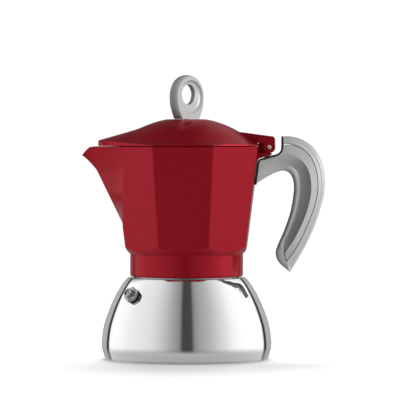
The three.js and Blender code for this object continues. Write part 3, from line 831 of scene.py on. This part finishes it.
def lid_outline(edge):
    """Plan of the lid: the octagon and the spout's sides as far as a blunt nose."""
    corners = [corner(RIM_Z, 0), corner(RIM_Z, 1), corner(RIM_Z, 2), crease(RIM_Z), Vector((SPOUT_TIP[0], 0))]
    whole = inset_outline(corners + [Vector((p.x, -p.y)) for p in reversed(corners[:4])], edge)
    start = whole[3]
    tip = whole[4]
    shoulder = start.lerp(tip, (NOSE_X - start.x) / (tip.x - start.x))
    reach = NOSE_TIP_X + edge - shoulder.x
    nose = []
    for k in range(1, NOSE_STEPS):
        angle = math.radians(180 * k / NOSE_STEPS)
        nose.append(Vector((shoulder.x + reach * math.sin(angle) ** 0.8, shoulder.y * math.cos(angle))))
    half = whole[:4] + [shoulder]
    other = [Vector((p.x, -p.y)) for p in reversed(half)]
    loop = half + nose + other
    spans = LID_SPANS + [1] * (len(nose) - 1) + list(reversed(LID_SPANS)) + [LID_SPANS[0]]
    dense = []
    for i, (point, count) in enumerate(zip(loop, spans)):
        after = loop[(i + 1) % len(loop)]
        dense += [point.lerp(after, k / count) for k in range(count)]
    return dense


def scaled_ring(outline, share, height):
    return [(p.x * share, p.y * share, height(p.x * share, p.y * share)) for p in outline]


def lid_shell():
    edge = 0.3
    outline = lid_outline(edge)
    rings = [[(p.x, p.y, LID_LOW + 0.3) for p in outline]]
    for inset, drop in ((0, 0.55), (0.16, 0.16), (0.55, 0)):
        ring = lid_outline(edge + inset) if inset else outline
        rings.append([(p.x, p.y, lid_height(p.x, p.y) - drop) for p in ring])
    shares = [0.97, 0.95, 0.93, 0.91] + [0.91 * (1 - k / 34) for k in range(1, 34)]
    rings += [scaled_ring(outline, share, lid_height) for share in shares]
    verts, faces = skin(rings, first_cap=False, last_cap=True)
    inner = lid_outline(edge + LID_WALL)
    under = [[(p.x, p.y, LID_LOW) for p in lid_outline(edge + inset)] for inset in (0.3, LID_WALL - 0.2)]
    under.append([(p.x, p.y, LID_LOW + 0.3) for p in inner])
    for share in [0.99] + [0.97 * (1 - k / 24) for k in range(24)]:
        under.append(scaled_ring(inner, share, lambda x, y: max(LID_LOW + 0.4, lid_height(x, y) - LID_WALL)))
    start = len(verts)
    more, inner_faces = skin(under, first_cap=False, last_cap=True)
    verts += more
    faces += [tuple(i + start for i in f) for f in inner_faces]
    count = len(outline)
    faces += [(i, (i + 1) % count, start + (i + 1) % count, start + i) for i in range(count)]
    return scratch((verts, faces))


# Side view (x, z) of the hinge arm, half of its plan (x, y), and the slot between its ears.
ARM_SIDE = [(30, 132.4), (33, 130.6), (37, 127.9), (40.2, 125.9), (41.8, 126.2), (41.8, 127), (45.3, 127),
            (45.6, PIN_Z)]
ARM_SIDE += arc(PIN_X, PIN_Z, KNUCKLE_R + 0.1, 180, 340, 20) + [(52, 127)] + arc(50, ARM_TOP - 2, 2, 0, 90, 8)
ARM_SIDE += [(41.7, ARM_TOP + 1.1), (33.7, ARM_TOP + 2.2), (30, ARM_TOP + 2.6)]
ARM_HALF_PLAN = [(28, 7.6), (36, 6.6), (40.9, 6.4), (42.2, EAR_OUT), (60, EAR_OUT)]
EAR_SLOT = [(41.9, 110), (60, 110), (60, PIN_Z)] + arc(PIN_X, PIN_Z, KNUCKLE_R + 0.3, 0, 90, 12)
EAR_SLOT += [(41.9, 128)]


def lid():
    arm = scratch(plate(ARM_SIDE, -20, 20))
    plan = [(x, -y) for x, y in ARM_HALF_PLAN] + list(reversed(ARM_HALF_PLAN))
    combine(arm, scratch(prism(plan, 110, 140)), "INTERSECT")
    cut(arm, plate(EAR_SLOT, -EAR_IN, EAR_IN))
    bevel(arm, 0.9, 4)
    shell = lid_shell()
    combine(shell, arm, "UNION")
    cut(shell, rod_along_y(PIN_R + 0.1, PIN_X, PIN_Z, 12))
    cut(shell, upright(2.4, 130, 150))
    piece_from(shell, "domed_lid", RED, "lid", "lid", 32)


def hinge_pin():
    end = EAR_OUT + 0.35
    profile = [(AXIS_R, -end), (0.8, -end), (PIN_R, -end + 0.35), (PIN_R, end - 0.35), (0.8, end),
               (AXIS_R, end)]
    verts, faces = revolve(rounded(profile, [0, 0.4, 0.3, 0.3, 0.4, 0], 4, False), 48, closed=False)
    verts = [(x + PIN_X, z, y + PIN_Z) for x, y, z in verts]
    make("lid_pin", (verts, faces), PIN_STEEL, "collector", "hinge_pin")


# ---------------------------------------------------------------- knob
KNOB_TURN = math.radians(53)         # its face looks between the handle and the front
KNOB_MIDDLE = 153.6
KNOB_HOLE_Z = 155.4
KNOB_HOLE_R = 5.9
KNOB_BASE = 141.1
KNOB_COUNT = 144
BEARINGS = [TAU * i / KNOB_COUNT for i in range(KNOB_COUNT)]


def ray_to_oval(angle, half_width, up, down, middle, floor=None):
    """Distance from the hole's middle to an oval's edge along a bearing."""
    low, high = 0.0, 40.0
    for _ in range(40):
        r = (low + high) / 2
        u = r * math.cos(angle)
        v = KNOB_HOLE_Z + r * math.sin(angle) - middle
        reach = up if v > 0 else down
        outside = (abs(u) / half_width) ** 2.1 + (abs(v) / reach) ** 2.1 > 1
        if outside or (floor is not None and v + middle < floor):
            high = r
        else:
            low = r
    return low


def knob_ring(radii, shift, w):
    """A ring round the hole, w in front of the knob's middle plane.

    shift widens it sideways and upwards, and leaves the foot down on the lid.
    """
    points = []
    for a, r in zip(BEARINGS, radii):
        upper = clamp((KNOB_HOLE_Z + r * math.sin(a) - KNOB_BASE) / 3)
        u = (r + shift) * math.cos(a)
        z = KNOB_HOLE_Z + (r + shift * upper) * math.sin(a)
        points.append((u * math.cos(KNOB_TURN) + w * math.sin(KNOB_TURN),
                       u * math.sin(KNOB_TURN) - w * math.cos(KNOB_TURN), max(z, KNOB_BASE)))
    return points


def knob():
    front = [ray_to_oval(a, 13.0, 13.3, 15.6, KNOB_MIDDLE, KNOB_BASE) for a in BEARINGS]
    dish = [ray_to_oval(a, 10.3, 9.7, 9.7, 153.9) for a in BEARINGS]
    hole = [KNOB_HOLE_R] * KNOB_COUNT
    face = [(hole, 0, 0.0), (hole, 0, 1.2), (hole, 0.1, 1.5), (hole, 0.35, 1.65)]
    for share, w in ((0.25, 1.72), (0.5, 1.86), (0.75, 2.16), (0.9, 2.6)):
        face.append(([mix(h, d, share) for h, d in zip(hole, dish)], 0, w))
    face += [(dish, 0, 3.15), (dish, 0.12, 3.38)]
    side = [(-1.5, 3.5), (-1.3, 3.42), (-0.9, 3.0), (-0.5, 2.3), (-0.2, 1.3), (0, 0.2), (-0.05, -0.8),
            (-0.3, -1.8), (-0.8, -2.7), (-1.4, -3.2), (-2.1, -3.45)]
    rings = [knob_ring(radii, shift, w) for radii, shift, w in face]
    rings += [knob_ring(front, shift, w) for shift, w in side]
    for radii, shift, w in reversed(face[1:]):
        back_shift = shift - 0.9 if radii is dish else shift
        rings.append(knob_ring(radii, back_shift, -w))
    make("ring_knob", skin(rings, closed=True), SILVER, "lid", "knob", 40)


def knob_fixings():
    profile = [(AXIS_R, 134.8), (2.4, 134.8), (3.3, 135.6), (3.3, 137.3), (1.5, 137.3), (1.5, 146.9),
               (AXIS_R, 146.9)]
    screw = scratch(revolve(rounded(profile, [0, 0.5, 0.3, 0.1, 0, 0.2, 0], 4, False), 48, closed=False))
    cut(screw, plate([(-4, 134), (4, 134), (4, 135.7), (-4, 135.7)], -0.4, 0.4))
    piece_from(screw, "knob_fixing_screw", SCREW_STEEL, "lid", "knob_screw", 35)
    washer = rounded([(1.9, 137.6), (5.0, 137.6), (5.0, 138.4), (1.9, 138.4)], 0.2, 3)
    make("knob_lock_washer", revolve(washer, 64), SCREW_STEEL, "lid", "knob_washer")


# ---------------------------------------------------------------- handle
# Lines (x, z) along the handle, each with a point for every station from the top to the tip. They are in
# order from the inner edge to the outer one.
LINES = {
    "inner": [(41.9, 103.0), (47.9, 107.0), (53.0, 109.8), (57.6, 110.7), (61.2, 108.5), (63.0, 103.2),
              (62.8, 96.5), (61.0, 86.4), (57.3, 75.4), (54.2, 68.4), (52.5, 62.6), (54.4, 57.0),
              (60.9, 51.3)],
    "ridge": [(42.3, 105.6), (47.3, 109.3), (52.6, 112.3), (58.3, 113.4), (63.2, 110.2), (65.3, 103.8),
              (65.2, 96.5), (63.3, 86.2), (59.6, 75.4), (56.2, 67.9), (57.2, 62.4), (58.7, 57.1),
              (60.9, 51.3)],
    "flute": [(56.6, 120.4), (59.3, 121.2), (63.0, 119.8), (67.0, 117.4), (71.0, 112.6), (73.1, 105.9),
              (73.3, 97.8), (71.2, 88.0), (67.0, 77.4), (62.5, 69.0), (58.2, 62.4), (59.4, 57.1),
              (60.9, 51.3)],
    "parting": [(57.4, 126.3), (61.6, 126.1), (66.8, 124.1), (71.2, 120.8), (74.8, 115.3), (76.9, 107.6),
                (77.0, 98.6), (74.9, 89.0), (70.9, 78.6), (66.9, 69.9), (62.6, 62.5), (58.7, 57.1),
                (60.9, 51.3)],
    "outer": [(57.4, 130.9), (62.6, 130.6), (68.2, 128.8), (73.9, 124.9), (78.3, 118.4), (80.8, 109.8),
              (81.1, 99.6), (79.1, 89.9), (75.3, 78.3), (71.2, 69.2), (67.2, 61.6), (64.0, 56.3),
              (60.9, 51.3)],
}
# Half thickness at the same stations. "middle" is the groove's floor and "band" the edge beyond the groove.
HALF_THICK = {
    "inner": [3.4, 3.2, 3.0, 3.0, 3.2, 3.2, 3.2, 3.2, 3.2, 3.4, 4.2, 4.2, 3.2],
    "ridge": [4.4, 4.0, 3.8, 4.0, 4.8, 5.8, 6.1, 6.1, 6.1, 6.1, 6.0, 5.9, 5.2],
    "middle": [5.9, 5.5, 5.3, 5.1, 4.2, 3.1, 2.6, 2.6, 2.8, 3.6, 5.0, 5.2, 5.2],
    "band": [7.1, 7.1, 7.1, 7.1, 7.1, 7.1, 7.1, 7.1, 7.0, 6.9, 6.0, 5.9, 5.2],
    "parting": [6.6, 6.5, 6.3, 6.1, 6.0, 6.0, 6.0, 6.0, 6.0, 6.0, 6.0, 5.9, 5.2],
    "outer": [3.8, 3.7, 3.5, 3.4, 3.4, 3.4, 3.4, 3.4, 3.4, 3.4, 3.4, 3.4, 2.6],
}
ROWS = 96
# The black pad's front (x, z), from the top down, and the stretch of it that the grip meets.
SEAT_FRONT = [(55.8, 130.9), (55.8, 124.8), (55.3, 122.4), (53.6, 120.7), (50.2, 119.7), (46.0, 118.5),
              (42.9, 117.4), (41.8, 115.6), (41.3, 112), (40.75, 108), (40.2, 104), (40.0, 102.6)]
SEAT_LOW = 103.0
SEAT_HIGH = 126.3
SEAT_SHARE = 0.22           # share of the grip's length over which it bends to meet the pad
PAD_THICK = 1.2
PAD_HALF_WIDTH = 7.2
GROOVE_DROP = 0.2           # share of the groove's width that its steep side takes
PART_GAP = 0.3              # the cover stands this far from the parting line


def seat_line():
    """Where the grip meets the pad's back, from its lower end to the parting line."""
    back = reversed(shifted(spline(SEAT_FRONT, 40), PAD_THICK + 0.05))
    return [Vector(point) for point in back if SEAT_LOW <= point[1] <= SEAT_HIGH]


def seat_point(line, share):
    """The place at a share of the line's length."""
    lengths = [0.0]
    for a, b in zip(line, line[1:]):
        lengths.append(lengths[-1] + (b - a).length)
    target = share * lengths[-1]
    for i in range(len(line) - 1):
        if target <= lengths[i + 1] + 1e-9:
            t = (target - lengths[i]) / (lengths[i + 1] - lengths[i])
            return line[i].lerp(line[i + 1], t)
    return line[-1]


def handle_lines():
    return {name: [Vector(p) for p in spline(points, ROWS)] for name, points in LINES.items()}


def thickness_rows():
    rows = {}
    for name, values in HALF_THICK.items():
        rows[name] = [p[0] for p in spline([(v, 0.0) for v in values], ROWS)]
    return rows


def grip_half(lines, thick, row):
    """Points (x, z, half thickness) across the grip's side, from its inner edge to the parting line."""
    inner, ridge, flute, parting = (lines[name][row] for name in ("inner", "ridge", "flute", "parting"))
    half = {name: values[row] for name, values in thick.items()}
    points = []
    for k in range(7):
        angle = math.pi / 2 * k / 6
        place = inner.lerp(ridge, 1 - math.cos(angle))
        points.append((place, mix(half["inner"], half["ridge"], math.sin(angle))))
    dip = (half["ridge"] + half["band"]) / 2 - half["middle"]
    for k in range(1, 17):
        level = mix(half["ridge"], half["band"], k / 16)
        points.append((ridge.lerp(flute, k / 16), level - dip * flute_shape(k / 16)))
    for t in (0.25, 0.5, 0.75, 0.95):
        points.append((flute.lerp(parting, t), mix(half["band"], half["parting"], t)))
    points.append((parting, half["parting"] - 0.35))
    return points


def flute_shape(t):
    """The groove drops sharply beside the ridge, then climbs ever more steeply to the band."""
    if t < GROOVE_DROP:
        return math.sin(math.pi / 2 * t / GROOVE_DROP)
    return 1 - ((t - GROOVE_DROP) / (1 - GROOVE_DROP)) ** 1.7


def both_sides(half):
    """A ring from its points (x, half thickness, z) on one side."""
    return half + [(x, -y, z) for x, y, z in reversed(half)]


def grip():
    lines = handle_lines()
    thick = thickness_rows()
    start = grip_half(lines, thick, 0)
    seat = seat_line()
    first, last = start[0][0], start[-1][0]
    length = (last - first).length
    rings = []
    for row in range(ROWS + 1):
        fade = max(0.0, 1 - row / ROWS / SEAT_SHARE) ** 2
        moved = []
        for (place, y), (place0, _) in zip(grip_half(lines, thick, row), start):
            share = clamp((place0 - first).dot((last - first) / length) / length)
            shift = (seat_point(seat, share) - place0) * fade
            moved.append((place.x + shift.x, y, place.y + shift.y))
        rings.append(both_sides(moved))
    verts, faces = skin(rings, first_cap=False)
    total = len(rings[0])
    faces += [(i, i + 1, total - 2 - i, total - 1 - i) for i in range(total // 2 - 1)]
    body = scratch((verts, faces))
    cut(body, upright(2.1, 100, 122, HANDLE_SCREW_X))
    cut(body, upright(3.5, 100, 110.6, HANDLE_SCREW_X))
    piece_from(body, "handle_core", SILVER, "collector", "handle_grip", 38)


def cover_half(parting, outer, y0, y1):
    """Points (x, half thickness, z) across the cover's side, with a tongue that closes the parting groove."""
    width = (outer - parting).length
    gap = min(PART_GAP, width / 3)
    run = (outer - parting).normalized() if width > 1e-6 else Vector((0, 0))
    base = parting + run * gap
    shoulder = mix(y0, y1, 0.3)
    tongue = parting + run * min(0.02, gap)
    half = [(tongue, y0 - 1.3), (tongue, y0 - 1.0), (base, y0 - 0.95), (base, y0 - 0.35),
            (base + run * min(0.12, width / 4), y0 - 0.05)]
    for t in (0.25, 0.42, 0.55):
        half.append((base.lerp(outer, t), mix(y0 - 0.05, shoulder, t / 0.55)))
    for k in range(1, 8):
        angle = math.pi / 2 * k / 7
        place = base.lerp(outer, mix(0.55, 1.0, math.sin(angle)))
        half.append((place, y1 + (shoulder - y1) * math.cos(angle)))
    half.append((outer, y1 * 0.5))
    return [(place.x, y, place.y) for place, y in half]


def cover():
    lines = handle_lines()
    thick = thickness_rows()
    rows = zip(lines["parting"], lines["outer"], thick["parting"], thick["outer"])
    rings = [both_sides(cover_half(*row)) for row in rows]
    make("handle_outer_shell", skin(rings), SILVER, "collector", "handle_cover", 38)


def shifted(line, distance):
    """The line moved sideways, to the left of its run."""
    moved = []
    for i, point in enumerate(line):
        run = (Vector(line[min(len(line) - 1, i + 1)]) - Vector(line[max(0, i - 1)])).normalized()
        moved.append((point[0] - run.y * distance, point[1] + run.x * distance))
    return moved


def handle_pad():
    front = spline(SEAT_FRONT, 40)
    outline = front + list(reversed(shifted(front, PAD_THICK)))
    pad = scratch(plate(outline, -PAD_HALF_WIDTH, PAD_HALF_WIDTH))
    bevel(pad, 0.25, 2, 50)
    cut(pad, upright(2.1, 100, 122, HANDLE_SCREW_X))
    piece_from(pad, "handle_pad", BLACK, "collector", "handle_insert", 35)


def handle_screw():
    low = 108.2
    profile = [(AXIS_R, low), (2.4, low), (3.2, low + 0.7), (3.2, 110.3), (1.5, 110.3), (1.5, 121.4),
               (AXIS_R, 121.4)]
    verts, faces = revolve(rounded(profile, [0, 0.6, 0.4, 0.1, 0, 0.3, 0], 4, False), 48, closed=False)
    screw = scratch(([(x + HANDLE_SCREW_X, y, z) for x, y, z in verts], faces))
    cut(screw, plate([(44, low - 1), (51, low - 1), (51, low + 0.9), (44, low + 0.9)], -0.4, 0.4))
    piece_from(screw, "handle_fixing_screw", SCREW_STEEL, "collector", "handle_screw", 35)


# ---------------------------------------------------------------- stage
# The camera's and the lamps' places are in metres. The camera stands in front, a little towards the handle.
CAMERA_BEARING = math.radians(3)
CAMERA_AWAY = 1.9
CAMERA_HEIGHT = 0.139
AIM = Vector((0.0079, 0.0, 0.0934))
LENS = 290.8
SENSOR = 36.0


def camera():
    data = bpy.data.cameras.new("camera")
    data.lens = LENS
    data.sensor_width = SENSOR
    obj = bpy.data.objects.new("camera", data)
    bpy.context.scene.collection.objects.link(obj)
    obj.location = (CAMERA_AWAY * math.sin(CAMERA_BEARING),
                    -CAMERA_AWAY * math.cos(CAMERA_BEARING), CAMERA_HEIGHT)
    obj.rotation_euler = (AIM - obj.location).to_track_quat("-Z", "Y").to_euler()
    bpy.context.scene.camera = obj


FLOOR_R = 700
FLOOR_DROP = 0.0002         # metres below the pot's foot, so that the two don't share a plane


def floor():
    mesh = bpy.data.meshes.new("floor")
    ring = circle(FLOOR_R, 0, 96)
    mesh.from_pydata([(x * MM, y * MM, 0) for x, y, _ in ring], [], [tuple(range(96))])
    obj = bpy.data.objects.new("floor", mesh)
    obj.location.z = -FLOOR_DROP
    bpy.context.scene.collection.objects.link(obj)
    material, _, _, base = shader("floor")
    set_inputs(base, {"Base Color": (0.93, 0.93, 0.93, 1), "Roughness": 0.6, "Specular IOR Level": 0.1,
                      "Emission Color": (1, 1, 1, 1), "Emission Strength": 0.12})
    mesh.materials.append(material)
    obj.visible_glossy = False
    return obj


# Brightness of the studio's walls by the bearing that an upright polished surface sees, in degrees from the
# camera. A dark gap lies behind the camera and a thin dark one on each side near the back wall.
WALLS_LEFT = [(0, 0.07), (5.5, 0.07), (8.5, 0.24), (11, 0.34), (16, 0.40), (20, 0.46), (27, 0.58), (36, 0.73),
              (45, 0.86), (55, 0.95), (65, 0.99), (75, 1.03), (88, 1.10), (97, 1.18), (115, 1.26),
              (128, 1.22), (132, 0.03), (137, 0.03), (141, 0.55), (162, 0.46), (180, 0.42)]
WALLS_RIGHT = [(0, 0.07), (7, 0.08), (9.5, 0.24), (12, 0.34), (16, 0.40), (20, 0.45), (27, 0.52), (36, 0.62),
               (45, 0.78), (55, 0.92), (65, 1.12), (75, 1.22), (88, 1.29), (115, 1.32), (127, 1.25),
               (131, 0.03), (136, 0.03), (141, 0.55), (162, 0.46), (180, 0.42)]


def wall_ramp(nodes, stops):
    """Half of the room. A ramp holds its bearings as shares of half a turn."""
    ramp = nodes.new("ShaderNodeValToRGB")
    elements = ramp.color_ramp.elements
    elements.remove(elements[1])
    elements[0].position = 0
    elements[0].color = (stops[0][1],) * 3 + (1,)
    for bearing, value in stops[1:]:
        element = elements.new(bearing / 180)
        element.color = (value, value, value, 1)
    return ramp


def world_math(nodes, links, operation, first, second=None):
    node = nodes.new("ShaderNodeMath")
    node.operation = operation
    for socket, value in zip(node.inputs, (first, second)):
        if value is None:
            continue
        if isinstance(value, (int, float)):
            socket.default_value = value
        else:
            links.new(value, socket)
    return node.outputs[0]


def world_range(nodes, links, value, source, target):
    spread = nodes.new("ShaderNodeMapRange")
    spread.interpolation_type = "SMOOTHSTEP"
    for name, number in zip(("From Min", "From Max", "To Min", "To Max"), source + target):
        spread.inputs[name].default_value = number
    links.new(value, spread.inputs["Value"])
    return spread.outputs["Result"]


def along_axis(nodes, links, place, axis):
    """How far a direction points along an axis."""
    dot = nodes.new("ShaderNodeVectorMath")
    dot.operation = "DOT_PRODUCT"
    dot.inputs[1].default_value = axis
    links.new(place, dot.inputs[0])
    return dot.outputs["Value"]


def mix_shaders(nodes, links, factor, first, second):
    node = nodes.new("ShaderNodeMixShader")
    links.new(factor, node.inputs["Fac"])
    links.new(first.outputs[0], node.inputs[1])
    links.new(second.outputs[0], node.inputs[2])
    return node


def wall_colour(nodes, links, right, ahead):
    """The walls' brightness on either side, by bearing."""
    sideways = world_math(nodes, links, "ABSOLUTE", right)
    depth = world_math(nodes, links, "SUBTRACT", 1.0, ahead)
    bearing = world_math(nodes, links, "ARCTAN2", sideways, depth)
    share = world_math(nodes, links, "DIVIDE", bearing, math.pi / 2)
    sides = nodes.new("ShaderNodeMix")
    sides.data_type = "RGBA"
    links.new(world_math(nodes, links, "GREATER_THAN", right, 0.0), sides.inputs["Factor"])
    sockets = [socket for socket in sides.inputs if socket.type == "RGBA"]
    for stops, socket in zip((WALLS_LEFT, WALLS_RIGHT), sockets):
        ramp = wall_ramp(nodes, stops)
        links.new(share, ramp.inputs["Fac"])
        links.new(ramp.outputs["Color"], socket)
    return [socket for socket in sides.outputs if socket.type == "RGBA"][0]


def wall_strength(nodes, links, right, ahead, height):
    """The walls are dimmed towards the ceiling at the back, more so on the left, and towards the ground."""
    up_and_back = world_math(nodes, links, "ADD", height, ahead)
    ceiling = world_range(nodes, links, up_and_back, (1.10, 1.28), (0.0, 0.85))
    ground = world_range(nodes, links, height, (-0.46, -0.02), (0.5, 0.0))
    to_left = world_range(nodes, links, right, (-0.1, 0.3), (1.0, 0.5))
    dimmed = world_math(nodes, links, "MULTIPLY", ceiling, to_left)
    dimmed = world_math(nodes, links, "ADD", dimmed, ground)
    return world_math(nodes, links, "SUBTRACT", 1.0, dimmed)


def studio():
    """A room of graded walls over a pale ground. The camera itself sees only white."""
    world = bpy.data.worlds.new("studio")
    bpy.context.scene.world = world
    world.use_nodes = True
    nodes = world.node_tree.nodes
    links = world.node_tree.links
    place = nodes.new("ShaderNodeTexCoord").outputs["Generated"]
    cos, sin = math.cos(CAMERA_BEARING), math.sin(CAMERA_BEARING)
    right = along_axis(nodes, links, place, (cos, sin, 0))
    ahead = along_axis(nodes, links, place, (-sin, cos, 0))
    split = nodes.new("ShaderNodeSeparateXYZ")
    links.new(place, split.inputs["Vector"])
    height = split.outputs["Z"]
    walls = nodes["Background"]
    links.new(wall_colour(nodes, links, right, ahead), walls.inputs["Color"])
    links.new(wall_strength(nodes, links, right, ahead, height), walls.inputs["Strength"])
    ground = nodes.new("ShaderNodeBackground")
    links.new(world_range(nodes, links, height, (-0.90, -0.35), (0.42, 0.80)), ground.inputs["Strength"])
    is_ground = world_range(nodes, links, height, (-0.62, -0.08), (1.0, 0.0))
    room = mix_shaders(nodes, links, is_ground, walls, ground)
    white = nodes.new("ShaderNodeBackground")
    set_inputs(white, {"Color": (1, 1, 1, 1), "Strength": 1.05})
    seen_directly = nodes.new("ShaderNodeLightPath").outputs["Is Camera Ray"]
    world_shader = mix_shaders(nodes, links, seen_directly, room, white)
    links.new(world_shader.outputs[0], nodes["World Output"].inputs["Surface"])


def lamp(name, place, target, size, power):
    data = bpy.data.lights.new(name, "AREA")
    data.shape = "RECTANGLE"
    data.size, data.size_y = size
    data.energy = power
    obj = bpy.data.objects.new(name, data)
    bpy.context.scene.collection.objects.link(obj)
    obj.location = place
    obj.rotation_euler = (Vector(target) - Vector(place)).to_track_quat("-Z", "Y").to_euler()
    obj.visible_camera = False
    return obj


def only_lights(light, name, objects):
    """Keeps a lamp to some of the objects; the others still cast its shadows."""
    group = bpy.data.collections.new(name)
    for obj in objects:
        group.objects.link(obj)
    light.light_linking.receiver_collection = group


def made_of(material):
    return [obj for obj in bpy.data.objects if obj.type == "MESH" and material.name in obj.data.materials]


def lights(ground):
    top = lamp("top_softbox", (0.0, 0.8, 1.3), (0, 0, 0), (0.8, 0.8), 17)
    only_lights(top, "floor_only", [ground])
    key = lamp("handle_softbox", (1.12, -0.68, 0.38), (0.05, 0, 0.11), (0.6, 0.6), 34)
    only_lights(key, "satin_pieces", made_of(SILVER))
    side = lamp("side_softbox", (1.3, -0.18, 0.42), (0, 0, 0.09), (0.35, 0.6), 2.8)
    only_lights(side, "red_pieces", made_of(RED))


camera()
ground = floor()
studio()
boiler_shell()
boiler_liner()
helical_ridge("neck_thread", 29.7, 30.4, 50.2, 1.6, CAST, "boiler")
helical_ridge("collar_thread", NECK_R + 0.9, NECK_R + 0.35, 50.4, 1.6, RED, "collector")
valve()
funnel()
seal_and_filter()
collector()
coffee_column()
lid()
hinge_pin()
knob()
knob_fixings()
grip()
cover()
handle_pad()
handle_screw()
lights(ground)

bpy.context.scene.view_settings.view_transform = "Standard"
